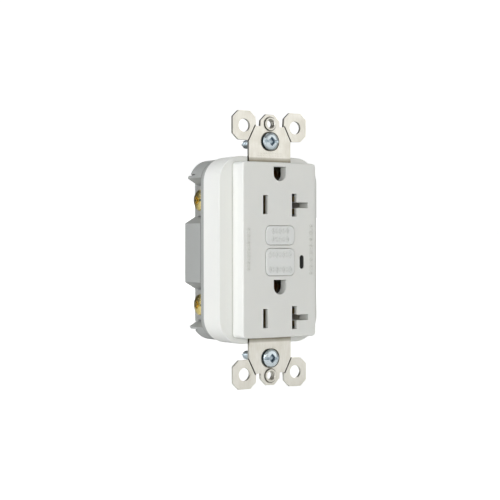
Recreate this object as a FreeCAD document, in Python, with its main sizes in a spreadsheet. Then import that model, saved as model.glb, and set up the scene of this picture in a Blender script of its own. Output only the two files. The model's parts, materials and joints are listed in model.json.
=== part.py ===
# Ground-fault (GFCI) duplex outlet, decorator style, with yoke strap, screw terminals and the trip
# mechanism inside. Millimetres. +X is right seen from the front, +Y goes into the wall, +Z is up.
# The origin is the centre of the device in the plane of the strap's rear face (Y = 0).
import FreeCAD, Part
import math
import os
import Sketcher
from FreeCAD import Vector

doc = FreeCAD.newDocument("gfci_outlet")
sheet = doc.addObject("Spreadsheet::Sheet", "Dims")

# ---------------------------------------------------------------- driving dimensions
# Each row is a value, its alias and, where the alias doesn't say it all, a note.
# x, y, z: positions.  half_w, half_z: half sizes in X and Z.  r: radius.  th: thickness.
# front, rear, back: ends in Y.  in, out: nearer to or farther from X = 0.  lo, hi: ends in Z.
TABLE = """
# front cover
-8.3    face_front_y: front of the face block
16.45   face_half_w
33.3    face_half_z
1.5     face_corner: outline corner radius
0.5     face_edge: fillet round the front edge
1.6     face_wall: front wall of the face block
1.5     face_side_wall: side wall of the face block
-0.6    flange_front_y
1.0     flange_rear_y
22.2    skirt_half_w
35.8    skirt_half_z
9.8     skirt_corner: outline corner radius
1.4     skirt_wall
11.4    skirt_rear_y
0.3     skirt_edge: fillet round the flange edge
9.75    notch_half_w: strap notch
-1.35   notch_front_y
31.0    notch_low_z: inner end of the strap notch
16.6    post_x: screw posts
30.6    post_z
2.7     post_r
9.5     post_rear_y
1.15    post_hole_r
17.13   blade_up_z: blade centre of the upper outlet
-25.95  blade_lo_z: blade centre of the lower outlet
11.85   ground_rise: ground pin centre above the blade centre
-6.55   hot_x: hot slot centre
1.05    hot_half_w
3.62    hot_half_z
6.53    neutral_x: neutral slot centre
1.1     neutral_half_w
4.38    neutral_half_z
12.9    tee_end_x: outer end of the neutral slot's horizontal leg
1.1     tee_half_z: half height of that leg
9.0     tee_guide_in_x: guide round the horizontal leg
14.1    tee_guide_out_x
2.1     tee_guide_half_z
-2.4    tee_guide_y: rear end of that guide
2.83    pin_half_w: half width of the D-shaped hole
2.7     pin_flat: flat top above the hole centre
1.1     guide_wall: wall of the guide round the D-shaped hole
-4.4    guide_rear_y: rear end of that guide
6.4     button_half_w: both buttons
2.0     button_corner
0.15    button_gap: gap round the buttons
-8.7    button_front_y
-5.4    button_rear_y
1.0     button_wall
0.9     button_lip: width of the retaining lips
-6.6    lip_front_y
1.9     test_lo_z: test button
9.1     test_hi_z
-9.8    reset_lo_z: reset button
0.5     reset_hi_z
1.1     test_stem_r: stem of the test button
2.05    test_stem_rear_y
-4.65   reset_z: axis of the reset pin
1.6     reset_boss_r: boss behind the reset button
-4.9    reset_boss_rear_y
1.0     reset_pin_r
-6.5    reset_pin_front_y
1.25    reset_head_r
18.9    reset_head_y: where the pin's head starts
0.9     reset_head_len
21.2    reset_tip_y
1.06    pin_guide_r: guide hole for the pin
2.3     spring_mean_r: reset spring
0.25    spring_wire_r
-7.2    spring_front_y: centre of the first coil
-1.57   spring_rear_y: centre of the last coil
1.15    spring_pitch
9.955   lamp_x: indicator slot centre
-4.7    lamp_z
1.0     lamp_half_w
2.66    lamp_half_z
0.08    lamp_gap: gap round the lens
-7.9    lamp_front_y: front of the lens
12.0    lamp_rear_y: rear end of the lens
# strap
-1.3    strap_front_y: its rear is at 0
9.45    strap_half_w: strap ends
30.6    strap_in_z: where the wide end starts
8.0     strap_mid_half_w
4.3     strap_neck_half_w: between the blades
41.85   strap_shoulder_z: where the end starts to narrow
6.3     strap_notch_x: foot of the notch beside the end tab
47.5    strap_notch_z
4.25    strap_tab_x: half width of the end tab
49.6    strap_tab_z: where the end tab's chamfer starts
1.75    strap_tab_top_x: half width of the end tab's top
52.1    strap_end_z
6.5     ear_in_x: ear outline, as far as ear_low_z
50.75   ear_in_z
9.0     ear_top_in_x
53.1    ear_top_z
14.1    ear_top_out_x
16.6    ear_out_x
50.7    ear_out_hi_z
44.3    ear_out_lo_z
42.0    ear_low_z
11.58   ear_hole_x
47.43   ear_hole_z
2.5     ear_hole_r
0.55    score_w: break-off score
1.0     score_depth
48.42   plate_hole_z: wall-plate screw hole
1.65    plate_hole_r
0.75    plate_lead: lead-in of the wall-plate hole
2.8     halo_r: shallow ring round the wall-plate hole
0.2     halo_depth
2.6     collar_r: extruded collar round the wall-plate hole
1.0     collar_len
41.67   box_screw_z: box mounting screws
4.15    dish_half_w: dished seat
3.65    dish_half_z
0.5     dish_depth
2.7     box_slot_half_w: oblong hole for the screw
2.1     box_slot_half_z
1.35    strap_pin_hole_r: hole for the reset pin
1.6     strap_stem_hole_r: hole for the test stem
3.45    strap_ground_hole_r: hole for the ground pin
6.8     earth_tab_x: centre of the ground screw tab
2.6     earth_tab_half_w
12.5    earth_tab_end_y
-38.0   earth_tab_hi_z
-39.2   earth_tab_lo_z
7.5     earth_y: ground screw axis
# box mounting screws
3.43    box_head_r
2.1     box_head_h: head height
1.75    box_shank_r: thread crest (number 6)
1.38    box_root_r: thread root
1.5     box_neck_r: plain neck under the head
7.2     box_neck_y: end of the neck
17.3    box_shank_y: end of the full thread
19.6    box_tip_y
0.79375 box_pitch: 32 threads per inch
3.3     retainer_r: retaining washer
1.8     retainer_hole_r
6.0     retainer_y: front of the washer
0.8     retainer_h: thickness of the washer
# middle housing
20.3    mid_half_w
34.2    mid_half_z
8.2     mid_corner
1.1     mid_front_y
9.55    mid_tab_half_w: end tabs
35.75   mid_tab_half_z
9.9     mid_floor_y: front of the floor
11.4    mid_rear_y: rear of the floor
4.7     cell_in_x: contact cells
14.6    cell_out_x
22.5    cell_hi_z
-31.0   cell_lo_z
4.15    ground_cell_r
1.5     peg_r: pegs that carry the circuit board
# face contacts
0.95    leaf_gap: half gap between the leaves
0.55    leaf_th
-6.3    leaf_front_y
3.4     leaf_half_z
6.0     bus_y: front of the bus bar
0.8     bus_th
11.5    bus_in_x
13.8    bus_out_x
20.6    bus_hi_z
-29.4   bus_lo_z
12.8    fixed_pad_y: front of the fixed contact pad
0.8     fixed_pad_th
0.7     fixed_rivet_h: fixed contact height
12.65   contact_x: contact axis
1.15    contact_r
# ground contacts
6.8     earth_base_half_w
3.3     earth_base_half_z
0.6     earth_base_th
2.4     earth_leaf_in: half gap between the fingers
0.55    earth_leaf_th
9.2     earth_leaf_y: rear end of the fingers
1.5     earth_leaf_half: half width of the lower finger
-1.7    earth_leaf_lo: lower end of the side fingers
2.5     earth_leaf_hi: upper end of the side fingers
5.3     rivet_x
0.9     rivet_r
1.5     rivet_head_r
0.5     rivet_head_h: head height
# test leaf
5.5     test_z: where the stem pushes
17.0    leaf_root_z
18.5    leaf_top_z: top end of the test leaf
4.0     leaf_tip_z: free end of the test leaf
2.2     test_leaf_y: front of the test leaf
0.3     test_leaf_th
1.5     test_leaf_half_w
# rear body
11.45   rear_front_y
28.2    rear_back_y
21.4    rear_half_w
35.3    rear_half_z
9.3     rear_corner
26.4    rear_floor_y: inside of the back wall
14.5    cav_half_w: cavity
33.4    cav_half_z
19.6    waist_half_w: cavity at the waist
8.9     waist_hi_z
-11.2   waist_lo_z
15.0    bay_front_y: terminal bays
16.6    bay_floor_x
0.58    bay_slope: slope of the ramps beside the bays
10.3    bay_up_edge_z: upper bay, ramp at the outer face
25.4    bay_up_end_z: upper bay, far end
-12.6   bay_lo_edge_z: lower bay, ramp at the outer face
-27.8   bay_lo_end_z: lower bay, far end
24.4    end_up_back_y: back of the upper end
22.8    end_lo_back_y: back of the lower end
1.7     end_rib: height in Z of the rib beside each bay
25.8    end_rib_back_y
15.0    end_in_x: side of the raised middle at the ends
30.0    end_up_z: upper end, start of the sloping shoulder
-31.2   end_lo_z: lower end, start of the sloping shoulder
12.0    end_top_x: inner end of the shoulders
32.4    end_top_z: top and bottom of the raised middle
21.2    deep_y: back of the cavity at the ends
13.4    deep_in_x: cavity half width behind the ends
31.0    deep_hi_z: cavity half height behind the ends
0.6     end_slit: width of the slit beyond the rib's inner edge
15.0    seam_y: front of the seam groove
0.3     seam_w
0.3     seam_depth
1.05    house_screw_r: housing screws
1.3     house_hole_r
2.1     house_head_r
2.3     house_bore_r: counterbore for the head
21.3    house_bore_y: floor of the counterbore
1.2     house_head_h: head height
3.0     house_tip_y: front end of the screws
# terminals
19.4    term_up_z: upper terminal screw axis
-21.5   term_lo_z: lower terminal screw axis
21.0    term_y: terminal screw axis
15.9    term_in_x: inner face of the terminal plate
0.8     term_plate_th
5.9     term_half_z
15.5    term_front_y
25.3    term_back_y
2.11    term_hole_r: tapped hole in the terminal plate
23.8    term_tab_y: front of the connection tab
0.8     term_tab_th
2.4     term_tab_half_z
12.8    term_tab_in_x
16.85   clamp_in_x: clamp plate
1.0     clamp_th
17.0    clamp_front_y
25.0    clamp_back_y
5.8     clamp_half_z
2.3     clamp_hole_r
4.1     tscrew_head_r: terminal screws
17.9    tscrew_head_x: underside of the head
2.0     tscrew_head_h: head height
0.9     tscrew_rim_h: height of the head's rim
2.05    tscrew_shank_r: thread crest (number 8)
1.65    tscrew_root_r: thread root
11.0    tscrew_tip_x
0.79375 tscrew_pitch: 32 threads per inch
2.6     wall_hole_r: hole in the bay floor for the screw
# ground screw
2.7     eclamp_half: half width of the square ground clamp
-39.45  eclamp_hi_z
1.0     eclamp_th
3.2     escrew_head_r
1.9     escrew_head_h: head height
0.05    escrew_gap: gap between head and clamp
-36.1   escrew_tip_z
# circuit board and its parts
13.0    board_y: front of the board
1.6     board_th
14.2    board_half_w
33.0    board_half_z
10.9    board_cut_in_x: cut-outs for the contacts
-1.3    board_cut_hi_z
-8.0    board_cut_lo_z
1.2     lead_x: conductor position in the sensor
0.8     lead_r
1.0     lead_hole_r: hole in the board
-22.0   sensor_z: sensor axis
8.6     sensor_r: sensor housing
0.6     sensor_wall
2.7     sensor_bore_r
24.6    sensor_back_y
4.6     core_in_r
6.6     core_out_r
2.6     core_len
16.1    core_a_y: front of the differential core
20.3    core_b_y: front of the grounded-neutral core
0.1     turn_gap: gap between core and turns
0.55    turn_th
20.2    coil_y: solenoid axis
7.5     coil_lo_z: bobbin lower end
21.0    coil_hi_z: bobbin upper end
0.9     coil_flange: bobbin flange thickness
5.2     coil_half: bobbin flange half width
2.3     coil_tube_in_r: bobbin bore
2.9     coil_tube_out_r: bobbin tube
5.0     coil_out_r: winding
1.2     frame_th: solenoid frame
0.05    frame_gap: gap between frame and bobbin
2.2     plunger_r
9.0     plunger_lo_z
26.5    plunger_hi_z
3.1     plunger_tip_z: tip of the push rod
0.9     plunger_rod_r
3.2     plunger_cap_r
0.8     plunger_cap_h: cap height
2.6     pspring_mean_r: plunger spring
0.2     pspring_wire_r
# trip mechanism
9.0     carrier_half_w: contact carrier
-0.8    carrier_hi_z
-8.5    carrier_lo_z
15.7    carrier_front_y
20.6    carrier_back_y
13.8    wing_half_w: reach of the carrier's wings
-3.9    wing_hi_z
-5.4    wing_lo_z
17.8    wing_back_y
15.6    wing_front_y
3.0     latch_half_w: latch plate
-9.4    latch_lo_z
3.0     latch_hi_z
17.6    latch_y: front of the plate
0.8     latch_th
16.9    latch_tab_front_y
22.5    latch_tab_back_y
0.08    latch_gap: gap round the latch plate
1.4     latch_slot_r: slot for the reset pin
2.4     latch_travel
11.6    arm_in_x: contact arms
13.7    arm_out_x
15.05   arm_y: front of the arms
0.5     arm_th
-28.0   arm_root_z
-3.1    arm_tip_z
0.7     arm_rivet_h: moving contact height
"""


class Size:
    """A number together with the spreadsheet expression that gives it."""

    def __init__(self, value, text, bound=False):
        self.value = float(value)
        self.text = text
        self.bound = bound      # True if a spreadsheet cell drives it

    def _join(self, sign, other, work):
        other = sized(other)
        text = "(%s %s %s)" % (self.text, sign, other.text)
        return Size(work(self.value, other.value), text, self.bound or other.bound)

    def __add__(self, other):
        return self._join("+", other, float.__add__)

    def __radd__(self, other):
        return sized(other) + self

    def __sub__(self, other):
        return self._join("-", other, float.__sub__)

    def __rsub__(self, other):
        return sized(other) - self

    def __mul__(self, other):
        return self._join("*", other, float.__mul__)

    def __truediv__(self, other):
        return self._join("/", other, float.__truediv__)

    def __neg__(self):
        return Size(-self.value, "(0 - %s)" % self.text, self.bound)


def sized(number):
    return number if isinstance(number, Size) else Size(number, repr(float(number)))


class dim:
    """Holds every driving dimension as a Size, under its alias."""


for row, line in enumerate(TABLE.strip().splitlines(), 1):
    if line.startswith("#"):
        sheet.set("A%d" % row, line[1:].strip())
        continue
    entry, _, note = line.partition(":")
    value, alias = entry.split()
    sheet.set("A%d" % row, alias)
    sheet.set("B%d" % row, value)
    sheet.set("C%d" % row, note.strip())
    sheet.setAlias("B%d" % row, alias)
    setattr(dim, alias, Size(value, "Dims." + alias, True))
doc.recompute()

# ---------------------------------------------------------------- shared values
SIDES = (1, -1)         # right and left, or top and bottom
PAST = 1.0              # how far most cuts run past the surface they open
LAP = 0.1               # how far joined pads reach into each other
NEAR_ROUND = 0.98       # corner radius of a round-ended slot over its half width
ground_up_z = dim.blade_up_z + dim.ground_rise
ground_lo_z = dim.blade_lo_z + dim.ground_rise
GROUNDS = (ground_up_z, ground_lo_z)
BLADES = (dim.blade_up_z, dim.blade_lo_z)
# screw axis and plate centre of the upper and lower terminals
TERMINALS = ((dim.term_up_z, dim.term_up_z - 0.2), (dim.term_lo_z, dim.term_lo_z - 0.05))
board_back = dim.board_y + dim.board_th

nodes = {}              # label: object to export
checks = []             # (feature, +1 adds / -1 removes)


# ---------------------------------------------------------------- binding and placing
def bind(thing, path, size):
    """Drive a property by its expression, if the spreadsheet has a part in it."""
    size = sized(size)
    if size.bound:
        thing.setExpression(path, size.text)


def drive(thing, prop, size):
    setattr(thing, prop, sized(size).value)
    bind(thing, prop, size)


def locate(thing, x, y, z, rotation):
    base = Vector(*(sized(size).value for size in (x, y, z)))
    thing.Placement = FreeCAD.Placement(base, rotation)
    for axis, size in zip("xyz", (x, y, z)):
        bind(thing, "Placement.Base." + axis, size)


def mirrored(side, inner, outer):
    """Two coordinates on side +1 or -1, the lower one first."""
    first, last = sized(inner) * side, sized(outer) * side
    return (first, last) if first.value < last.value else (last, first)


def both_sides(half):
    """Points of the right half followed by their mirror images in X = 0."""
    return half + [(-x, z) for x, z in reversed(half)]


# ---------------------------------------------------------------- sketch outlines
def tie(profile, *rule):
    return profile.addConstraint(Sketcher.Constraint(*rule))


def fix(profile, kind, curve, point, size):
    """Hold a point's X or Y; a zero coordinate puts the point on the sketch axis."""
    size = sized(size)
    if abs(size.value) < 1e-9:
        tie(profile, "PointOnObject", curve, point, -2 if kind == "DistanceX" else -1)
        return
    index = tie(profile, kind, curve, point, size.value)
    bind(profile, "Constraints[%d]" % index, size)


def fix_point(profile, curve, point, x, y):
    fix(profile, "DistanceX", curve, point, x)
    fix(profile, "DistanceY", curve, point, y)


def fix_radius(profile, curve, radius):
    index = tie(profile, "Radius", curve, radius.value)
    bind(profile, "Constraints[%d]" % index, radius)


def add_line(profile, start, end):
    return profile.addGeometry(Part.LineSegment(Vector(*start, 0), Vector(*end, 0)), False)


def add_arc(profile, x, y, radius, start, sweep):
    ring = Part.Circle(Vector(x, y, 0), Vector(0, 0, 1), radius)
    return profile.addGeometry(Part.ArcOfCircle(ring, start, start + sweep), False)


def draw_polygon(profile, points):
    points = [(sized(x), sized(y)) for x, y in points]
    spots = [(x.value, y.value) for x, y in points]
    lines = [add_line(profile, *ends) for ends in zip(spots, spots[1:] + spots[:1])]
    for line, following in zip(lines, lines[1:] + lines[:1]):
        tie(profile, "Coincident", line, 2, following, 1)
    for line, point in zip(lines, points):
        fix_point(profile, line, 1, *point)


def draw_rounded(profile, x_lo, x_hi, y_lo, y_hi, corner):
    """Rectangle with four equal corner arcs."""
    left, right, low, high, radius = (
        sized(size).value for size in (x_lo, x_hi, y_lo, y_hi, corner))
    west, east, south, north = left + radius, right - radius, low + radius, high - radius
    lines = [add_line(profile, *ends) for ends in (
        ((west, low), (east, low)), ((right, south), (right, north)),
        ((east, high), (west, high)), ((left, north), (left, south)))]
    arcs = [add_arc(profile, x, y, radius, start, math.pi / 2) for x, y, start in (
        (east, south, -math.pi / 2), (east, north, 0),
        (west, north, math.pi / 2), (west, south, math.pi))]
    for i in range(4):
        tie(profile, "Tangent", lines[i], 2, arcs[i], 1)
        tie(profile, "Tangent", arcs[i], 2, lines[(i + 1) % 4], 1)
    for line, kind in zip(lines, ("Horizontal", "Vertical", "Horizontal", "Vertical")):
        tie(profile, kind, line)
    for arc in arcs[1:]:
        tie(profile, "Equal", arcs[0], arc)
    fix_radius(profile, arcs[0], sized(corner))
    fix(profile, "DistanceY", lines[0], 1, y_lo)
    fix(profile, "DistanceX", lines[1], 1, x_hi)
    fix(profile, "DistanceY", lines[2], 1, y_hi)
    fix(profile, "DistanceX", lines[3], 1, x_lo)


def outline(draw):
    """Make draw(profile, ...) take its sizes now and its sketch later."""
    def with_sizes(*sizes):
        return lambda profile: draw(profile, *sizes)
    return with_sizes


poly = outline(draw_polygon)


@outline
def rect(profile, x_lo, x_hi, y_lo, y_hi, corner=None):
    if corner is None:
        draw_polygon(profile, [(x_lo, y_lo), (x_hi, y_lo), (x_hi, y_hi), (x_lo, y_hi)])
    else:
        draw_rounded(profile, x_lo, x_hi, y_lo, y_hi, corner)


def band(half_w, y_lo, y_hi, corner=None):
    """Rectangle centred on the sketch's vertical axis."""
    return rect(-half_w, half_w, y_lo, y_hi, corner)


def plate(half_w, half_h, corner=None):
    """Rectangle centred on the sketch's origin."""
    return band(half_w, -half_h, half_h, corner)


def window(x, y, half_w, half_h, corner=None):
    """Rectangle round a given centre."""
    return rect(x - half_w, x + half_w, y - half_h, y + half_h, corner)


@outline
def circle(profile, x, y, radius):
    x, y, radius = sized(x), sized(y), sized(radius)
    ring = Part.Circle(Vector(x.value, y.value, 0), Vector(0, 0, 1), radius.value)
    curve = profile.addGeometry(ring, False)
    fix_point(profile, curve, 3, x, y)
    fix_radius(profile, curve, radius)


@outline
def pin_outline(profile, x, y, half_w, flat):
    """Ground-pin outline: round below, straight sides and a flat top."""
    x, y, half_w, flat = sized(x), sized(y), sized(half_w), sized(flat)
    left, right = x.value - half_w.value, x.value + half_w.value
    low, top = y.value, y.value + flat.value
    arc = add_arc(profile, x.value, low, half_w.value, math.pi, math.pi)
    rise = add_line(profile, (right, low), (right, top))
    across = add_line(profile, (right, top), (left, top))
    drop = add_line(profile, (left, top), (left, low))
    tie(profile, "Tangent", arc, 2, rise, 1)
    tie(profile, "Coincident", rise, 2, across, 1)
    tie(profile, "Coincident", across, 2, drop, 1)
    tie(profile, "Tangent", drop, 2, arc, 1)
    tie(profile, "Vertical", rise)
    tie(profile, "Horizontal", across)
    fix_point(profile, arc, 3, x, y)
    fix_radius(profile, arc, half_w)
    fix(profile, "DistanceY", rise, 2, y + flat)


# ---------------------------------------------------------------- bodies
class Piece:
    """A PartDesign body. Pads and pockets run along Y unless another plane is given."""

    made = 0            # numbers the sketches and edge treatments of all pieces

    def __init__(self, label):
        self.body = doc.addObject("PartDesign::Body", label)
        self.body.Label = label
        nodes[label] = self.body

    def _new(self, kind, tag):
        return self.body.newObject(kind, "%s_%s%d" % (self.body.Name, tag, Piece.made))

    def sketch(self, plane, at, *outlines):
        """Sketch on an origin plane, moved along its normal to the coordinate `at`."""
        Piece.made += 1
        profile = self._new("Sketcher::SketchObject", "sk")
        role = plane + "_Plane"
        base = [part for part in self.body.Origin.OriginFeatures if part.Role == role][0]
        profile.AttachmentSupport = (base, [""])
        profile.MapMode = "FlatFace"
        at = sized(at)
        offset = -at if plane == "XZ" else at       # the XZ plane's normal is -Y
        lift = Vector(0, 0, offset.value)
        profile.AttachmentOffset = FreeCAD.Placement(lift, FreeCAD.Rotation())
        bind(profile, "AttachmentOffset.Base.z", offset)
        profile.Visibility = False
        for draw in outlines:
            draw(profile)
        return profile

    def _extrude(self, kind, tag, plane, low, high, outlines):
        profile = self.sketch(plane, low, *outlines)
        feature = self._new("PartDesign::" + kind, tag)
        feature.Profile = profile
        drive(feature, "Length", sized(high) - low)
        feature.Reversed = (plane == "XZ") == (kind == "Pad")
        checks.append((feature, 1 if kind == "Pad" else -1))

    def pad(self, low, high, *outlines, plane="XZ"):
        self._extrude("Pad", "pad", plane, low, high, outlines)

    def pocket(self, low, high, *outlines, plane="XZ"):
        self._extrude("Pocket", "cut", plane, low, high, outlines)

    def revolve(self, points, plane="XY", axis="V_Axis"):
        """Full turn of a half profile about one of the sketch's own axes."""
        profile = self.sketch(plane, 0.0, poly(points))
        feature = self._new("PartDesign::Revolution", "rev")
        feature.Profile = profile
        feature.ReferenceAxis = (profile, [axis])
        feature.Angle = 360.0
        checks.append((feature, 1))

    def soften(self, y, size, kind="Fillet", radius=None):
        """Treat the edges lying at this Y, or only the circles of one radius there."""
        doc.recompute()
        y = sized(y).value

        def picked(edge):
            bounds = edge.BoundBox
            if abs(bounds.YMin - y) >= 1e-4 or abs(bounds.YMax - y) >= 1e-4:
                return False
            return radius is None or (edge.Curve.TypeId == "Part::GeomCircle"
                                      and abs(edge.Curve.Radius - radius.value) < 1e-3)

        base = self.body.Tip
        names = ["Edge%d" % i for i, edge in enumerate(base.Shape.Edges, 1) if picked(edge)]
        if not names:
            raise RuntimeError("no edges to soften on " + self.body.Name)
        Piece.made += 1
        feature = self._new("PartDesign::" + kind, "soft")
        feature.Base = (base, names)
        drive(feature, "Radius" if kind == "Fillet" else "Size", size)
        doc.recompute()

    def place(self, x=0, y=0, z=0, turn=0.0):
        """Move the body, turned about Z."""
        locate(self.body, x, y, z, FreeCAD.Rotation(Vector(0, 0, 1), turn))


def helix_spring(label, plane, mean_r, wire_r, start, length, pitch):
    """Round-wire compression spring about the sketch's vertical axis."""
    spring = Piece(label)
    profile = spring.sketch(plane, 0.0, circle(mean_r, start, wire_r))
    doc.recompute()
    feature = spring.body.newObject("PartDesign::AdditiveHelix", label + "_helix")
    feature.Profile = profile
    feature.ReferenceAxis = (profile, ["V_Axis"])
    feature.Mode = 0        # pitch and height
    drive(feature, "Pitch", pitch)
    drive(feature, "Height", length)
    checks.append((feature, 1))
    return spring


def thread(crest, root, start, end, pitch):
    """Sawtooth (radius, position) points with a whole number of threads."""
    points = []
    for i in range(int((end.value - start.value) / pitch.value)):
        points += [(crest, start + pitch * (i + 0.12)), (root, start + pitch * (i + 0.5)),
                   (crest, start + pitch * (i + 0.88))]
    return points


# ---------------------------------------------------------------- Part solids
AXIS_TURN = {"x": FreeCAD.Rotation(Vector(0, 1, 0), 90),
             "y": FreeCAD.Rotation(Vector(1, 0, 0), -90),
             "z": FreeCAD.Rotation()}


def cylinder(name, radius, length, axis, x, y, z):
    """Cylinder with its base centre at x, y, z and its length along +axis."""
    solid = doc.addObject("Part::Cylinder", name)
    drive(solid, "Radius", radius)
    drive(solid, "Height", length)
    locate(solid, x, y, z, AXIS_TURN[axis])
    return solid


def block(name, x, y_lo, y_hi, z, half_w, half_z):
    """Box centred on x and z, from y_lo to y_hi."""
    solid = doc.addObject("Part::Box", name)
    drive(solid, "Length", half_w * 2)
    drive(solid, "Width", sized(y_hi) - y_lo)
    drive(solid, "Height", half_z * 2)
    locate(solid, x - half_w, y_lo, z - half_z, FreeCAD.Rotation())
    return solid


def fuse(name, parts):
    fusion = doc.addObject("Part::MultiFuse", name)
    fusion.Shapes = parts
    fusion.Refine = True
    return fusion


def group(label, parts):
    """Identical pieces kept together in one node as separate solids."""
    compound = doc.addObject("Part::Compound", label)
    compound.Label = label
    compound.Links = parts
    nodes[label] = compound


# ---------------------------------------------------------------- front cover
cover = Piece("front_cover")
cover.pad(dim.flange_front_y, dim.skirt_rear_y,
          plate(dim.skirt_half_w, dim.skirt_half_z, dim.skirt_corner))
cover.soften(dim.flange_front_y, dim.skirt_edge)
cover.pad(dim.face_front_y, dim.flange_rear_y,
          plate(dim.face_half_w, dim.face_half_z, dim.face_corner))
cover.soften(dim.face_front_y, dim.face_edge)
# hollow skirt, then hollow face block
wall = dim.skirt_wall
cover.pocket(dim.flange_rear_y, dim.skirt_rear_y + PAST,
             plate(dim.skirt_half_w - wall, dim.skirt_half_z - wall, dim.skirt_corner - wall))
face_open = dim.face_front_y - PAST
face_back = dim.face_front_y + dim.face_wall
wall = dim.face_side_wall
cover.pocket(face_back, dim.flange_rear_y + PAST,
             plate(dim.face_half_w - wall, dim.face_half_z - wall, dim.face_corner / 2))
for side in SIDES:
    for end in SIDES:
        x, z = dim.post_x * side, dim.post_z * end
        cover.pad(dim.flange_rear_y - 0.2, dim.post_rear_y, circle(x, z, dim.post_r))
        cover.pocket(dim.house_tip_y - 0.5, dim.post_rear_y + PAST,
                     circle(x, z, dim.post_hole_r))
for z in GROUNDS:
    cover.pad(face_back - LAP, dim.guide_rear_y,
              pin_outline(0.0, z, dim.pin_half_w + dim.guide_wall,
                          dim.pin_flat + dim.guide_wall))
cover.pocket(face_open, dim.guide_rear_y + PAST,
             *[pin_outline(0.0, z, dim.pin_half_w, dim.pin_flat) for z in GROUNDS])
# lower half of the T-shaped neutral slot: x, distance from the blade centre
neutral_out_x = dim.neutral_x + dim.neutral_half_w
TEE_HALF = [(dim.neutral_x - dim.neutral_half_w, dim.neutral_half_z),
            (neutral_out_x, dim.neutral_half_z),
            (neutral_out_x, dim.tee_half_z), (dim.tee_end_x, dim.tee_half_z)]
for z in BLADES:
    cover.pad(face_back - LAP, dim.tee_guide_y,
              rect(dim.tee_guide_in_x, dim.tee_guide_out_x,
                   z - dim.tee_guide_half_z, z + dim.tee_guide_half_z))
    cover.pocket(face_back - 0.2, dim.tee_guide_y + PAST,
                 rect(dim.tee_guide_in_x - 0.5, dim.tee_end_x,
                      z - dim.tee_half_z, z + dim.tee_half_z))
    cover.pocket(face_open, face_back + 0.5,
                 window(dim.hot_x, z, dim.hot_half_w, dim.hot_half_z),
                 poly([(x, z - away) for x, away in TEE_HALF]
                      + [(x, z + away) for x, away in reversed(TEE_HALF)]))
# openings for the buttons and the indicator
gap = dim.button_gap
cover.pocket(face_open, face_back + 0.5,
             *[band(dim.button_half_w + gap, low - gap, high + gap, dim.button_corner + gap)
               for low, high in ((dim.test_lo_z, dim.test_hi_z),
                                 (dim.reset_lo_z, dim.reset_hi_z))],
             window(dim.lamp_x, dim.lamp_z, dim.lamp_half_w, dim.lamp_half_z,
                    dim.lamp_half_w * NEAR_ROUND))
for end in SIDES:
    cover.pocket(dim.notch_front_y, dim.skirt_rear_y + PAST,
                 band(dim.notch_half_w, *mirrored(end, dim.notch_low_z, dim.skirt_half_z + 1)))

# ---------------------------------------------------------------- mounting strap
strap = Piece("mounting_strap")
strap_open = dim.strap_front_y - 0.2        # where cuts into the front start
through_y = 0.5                             # where cuts through the strap end
strap.pad(dim.strap_front_y, 0.0, plate(dim.strap_neck_half_w, dim.strap_in_z + 1))
strap.pad(dim.strap_front_y, 0.0,
          band(dim.strap_mid_half_w, ground_lo_z - 6.5, dim.test_hi_z + 1))
strap.pad(dim.strap_front_y, 0.0,
          band(dim.strap_mid_half_w, ground_up_z - 4.5, dim.strap_in_z + 1))
# right half of the upper end with its ear and tab: x, z
STRAP_END = [
    (dim.strap_half_w, dim.strap_in_z), (dim.strap_half_w, dim.strap_shoulder_z),
    (dim.ear_top_out_x, dim.ear_low_z), (dim.ear_out_x, dim.ear_out_lo_z),
    (dim.ear_out_x, dim.ear_out_hi_z), (dim.ear_top_out_x, dim.ear_top_z),
    (dim.ear_top_in_x, dim.ear_top_z), (dim.ear_in_x, dim.ear_in_z),
    (dim.strap_notch_x, dim.strap_notch_z),
    (dim.strap_tab_x + 0.1, dim.strap_notch_z - 0.1),
    (dim.strap_tab_x, dim.strap_tab_z), (dim.strap_tab_top_x, dim.strap_end_z)]
# break-off score between the strap end and its ear: x, z
score_top_x, score_top_z = dim.strap_notch_x + 0.05, dim.strap_notch_z + 0.3
score_low_x, score_low_z = dim.strap_half_w + 0.1, dim.strap_shoulder_z - 0.3
SCORE = [(score_top_x, score_top_z), (score_low_x, score_low_z),
         (score_low_x + dim.score_w, score_low_z), (score_top_x + dim.score_w, score_top_z)]
for end in SIDES:
    strap.pad(dim.strap_front_y, 0.0, poly([(x, z * end) for x, z in both_sides(STRAP_END)]))
    strap.pad(-LAP, dim.collar_len, circle(0.0, dim.plate_hole_z * end, dim.collar_r))
    for side in SIDES:
        strap.pocket(strap_open, dim.strap_front_y + dim.score_depth,
                     poly([(x * side, z * end) for x, z in SCORE]))
    screw_z = dim.box_screw_z * end
    strap.pocket(strap_open, dim.strap_front_y + dim.dish_depth,
                 window(0, screw_z, dim.dish_half_w, dim.dish_half_z, dim.dish_half_z * 0.95))
    strap.pocket(strap_open, through_y,
                 window(0, screw_z, dim.box_slot_half_w, dim.box_slot_half_z,
                        dim.box_slot_half_z * NEAR_ROUND))
strap.pocket(strap_open, dim.collar_len + PAST,
             *[circle(dim.ear_hole_x * side, dim.ear_hole_z * end, dim.ear_hole_r)
               for side in SIDES for end in SIDES],
             *[circle(0.0, dim.plate_hole_z * end, dim.plate_hole_r) for end in SIDES])
strap.pocket(strap_open, through_y,
             circle(0.0, dim.reset_z, dim.strap_pin_hole_r),
             circle(0.0, dim.test_z, dim.strap_stem_hole_r),
             *[circle(0.0, z, dim.strap_ground_hole_r) for z in GROUNDS],
             *[circle(dim.rivet_x * side, z, dim.rivet_r + 0.05)
               for side in SIDES for z in GROUNDS])
strap.pocket(strap_open, dim.strap_front_y + dim.halo_depth,
             *[circle(0.0, dim.plate_hole_z * end, dim.halo_r) for end in SIDES])
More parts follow.
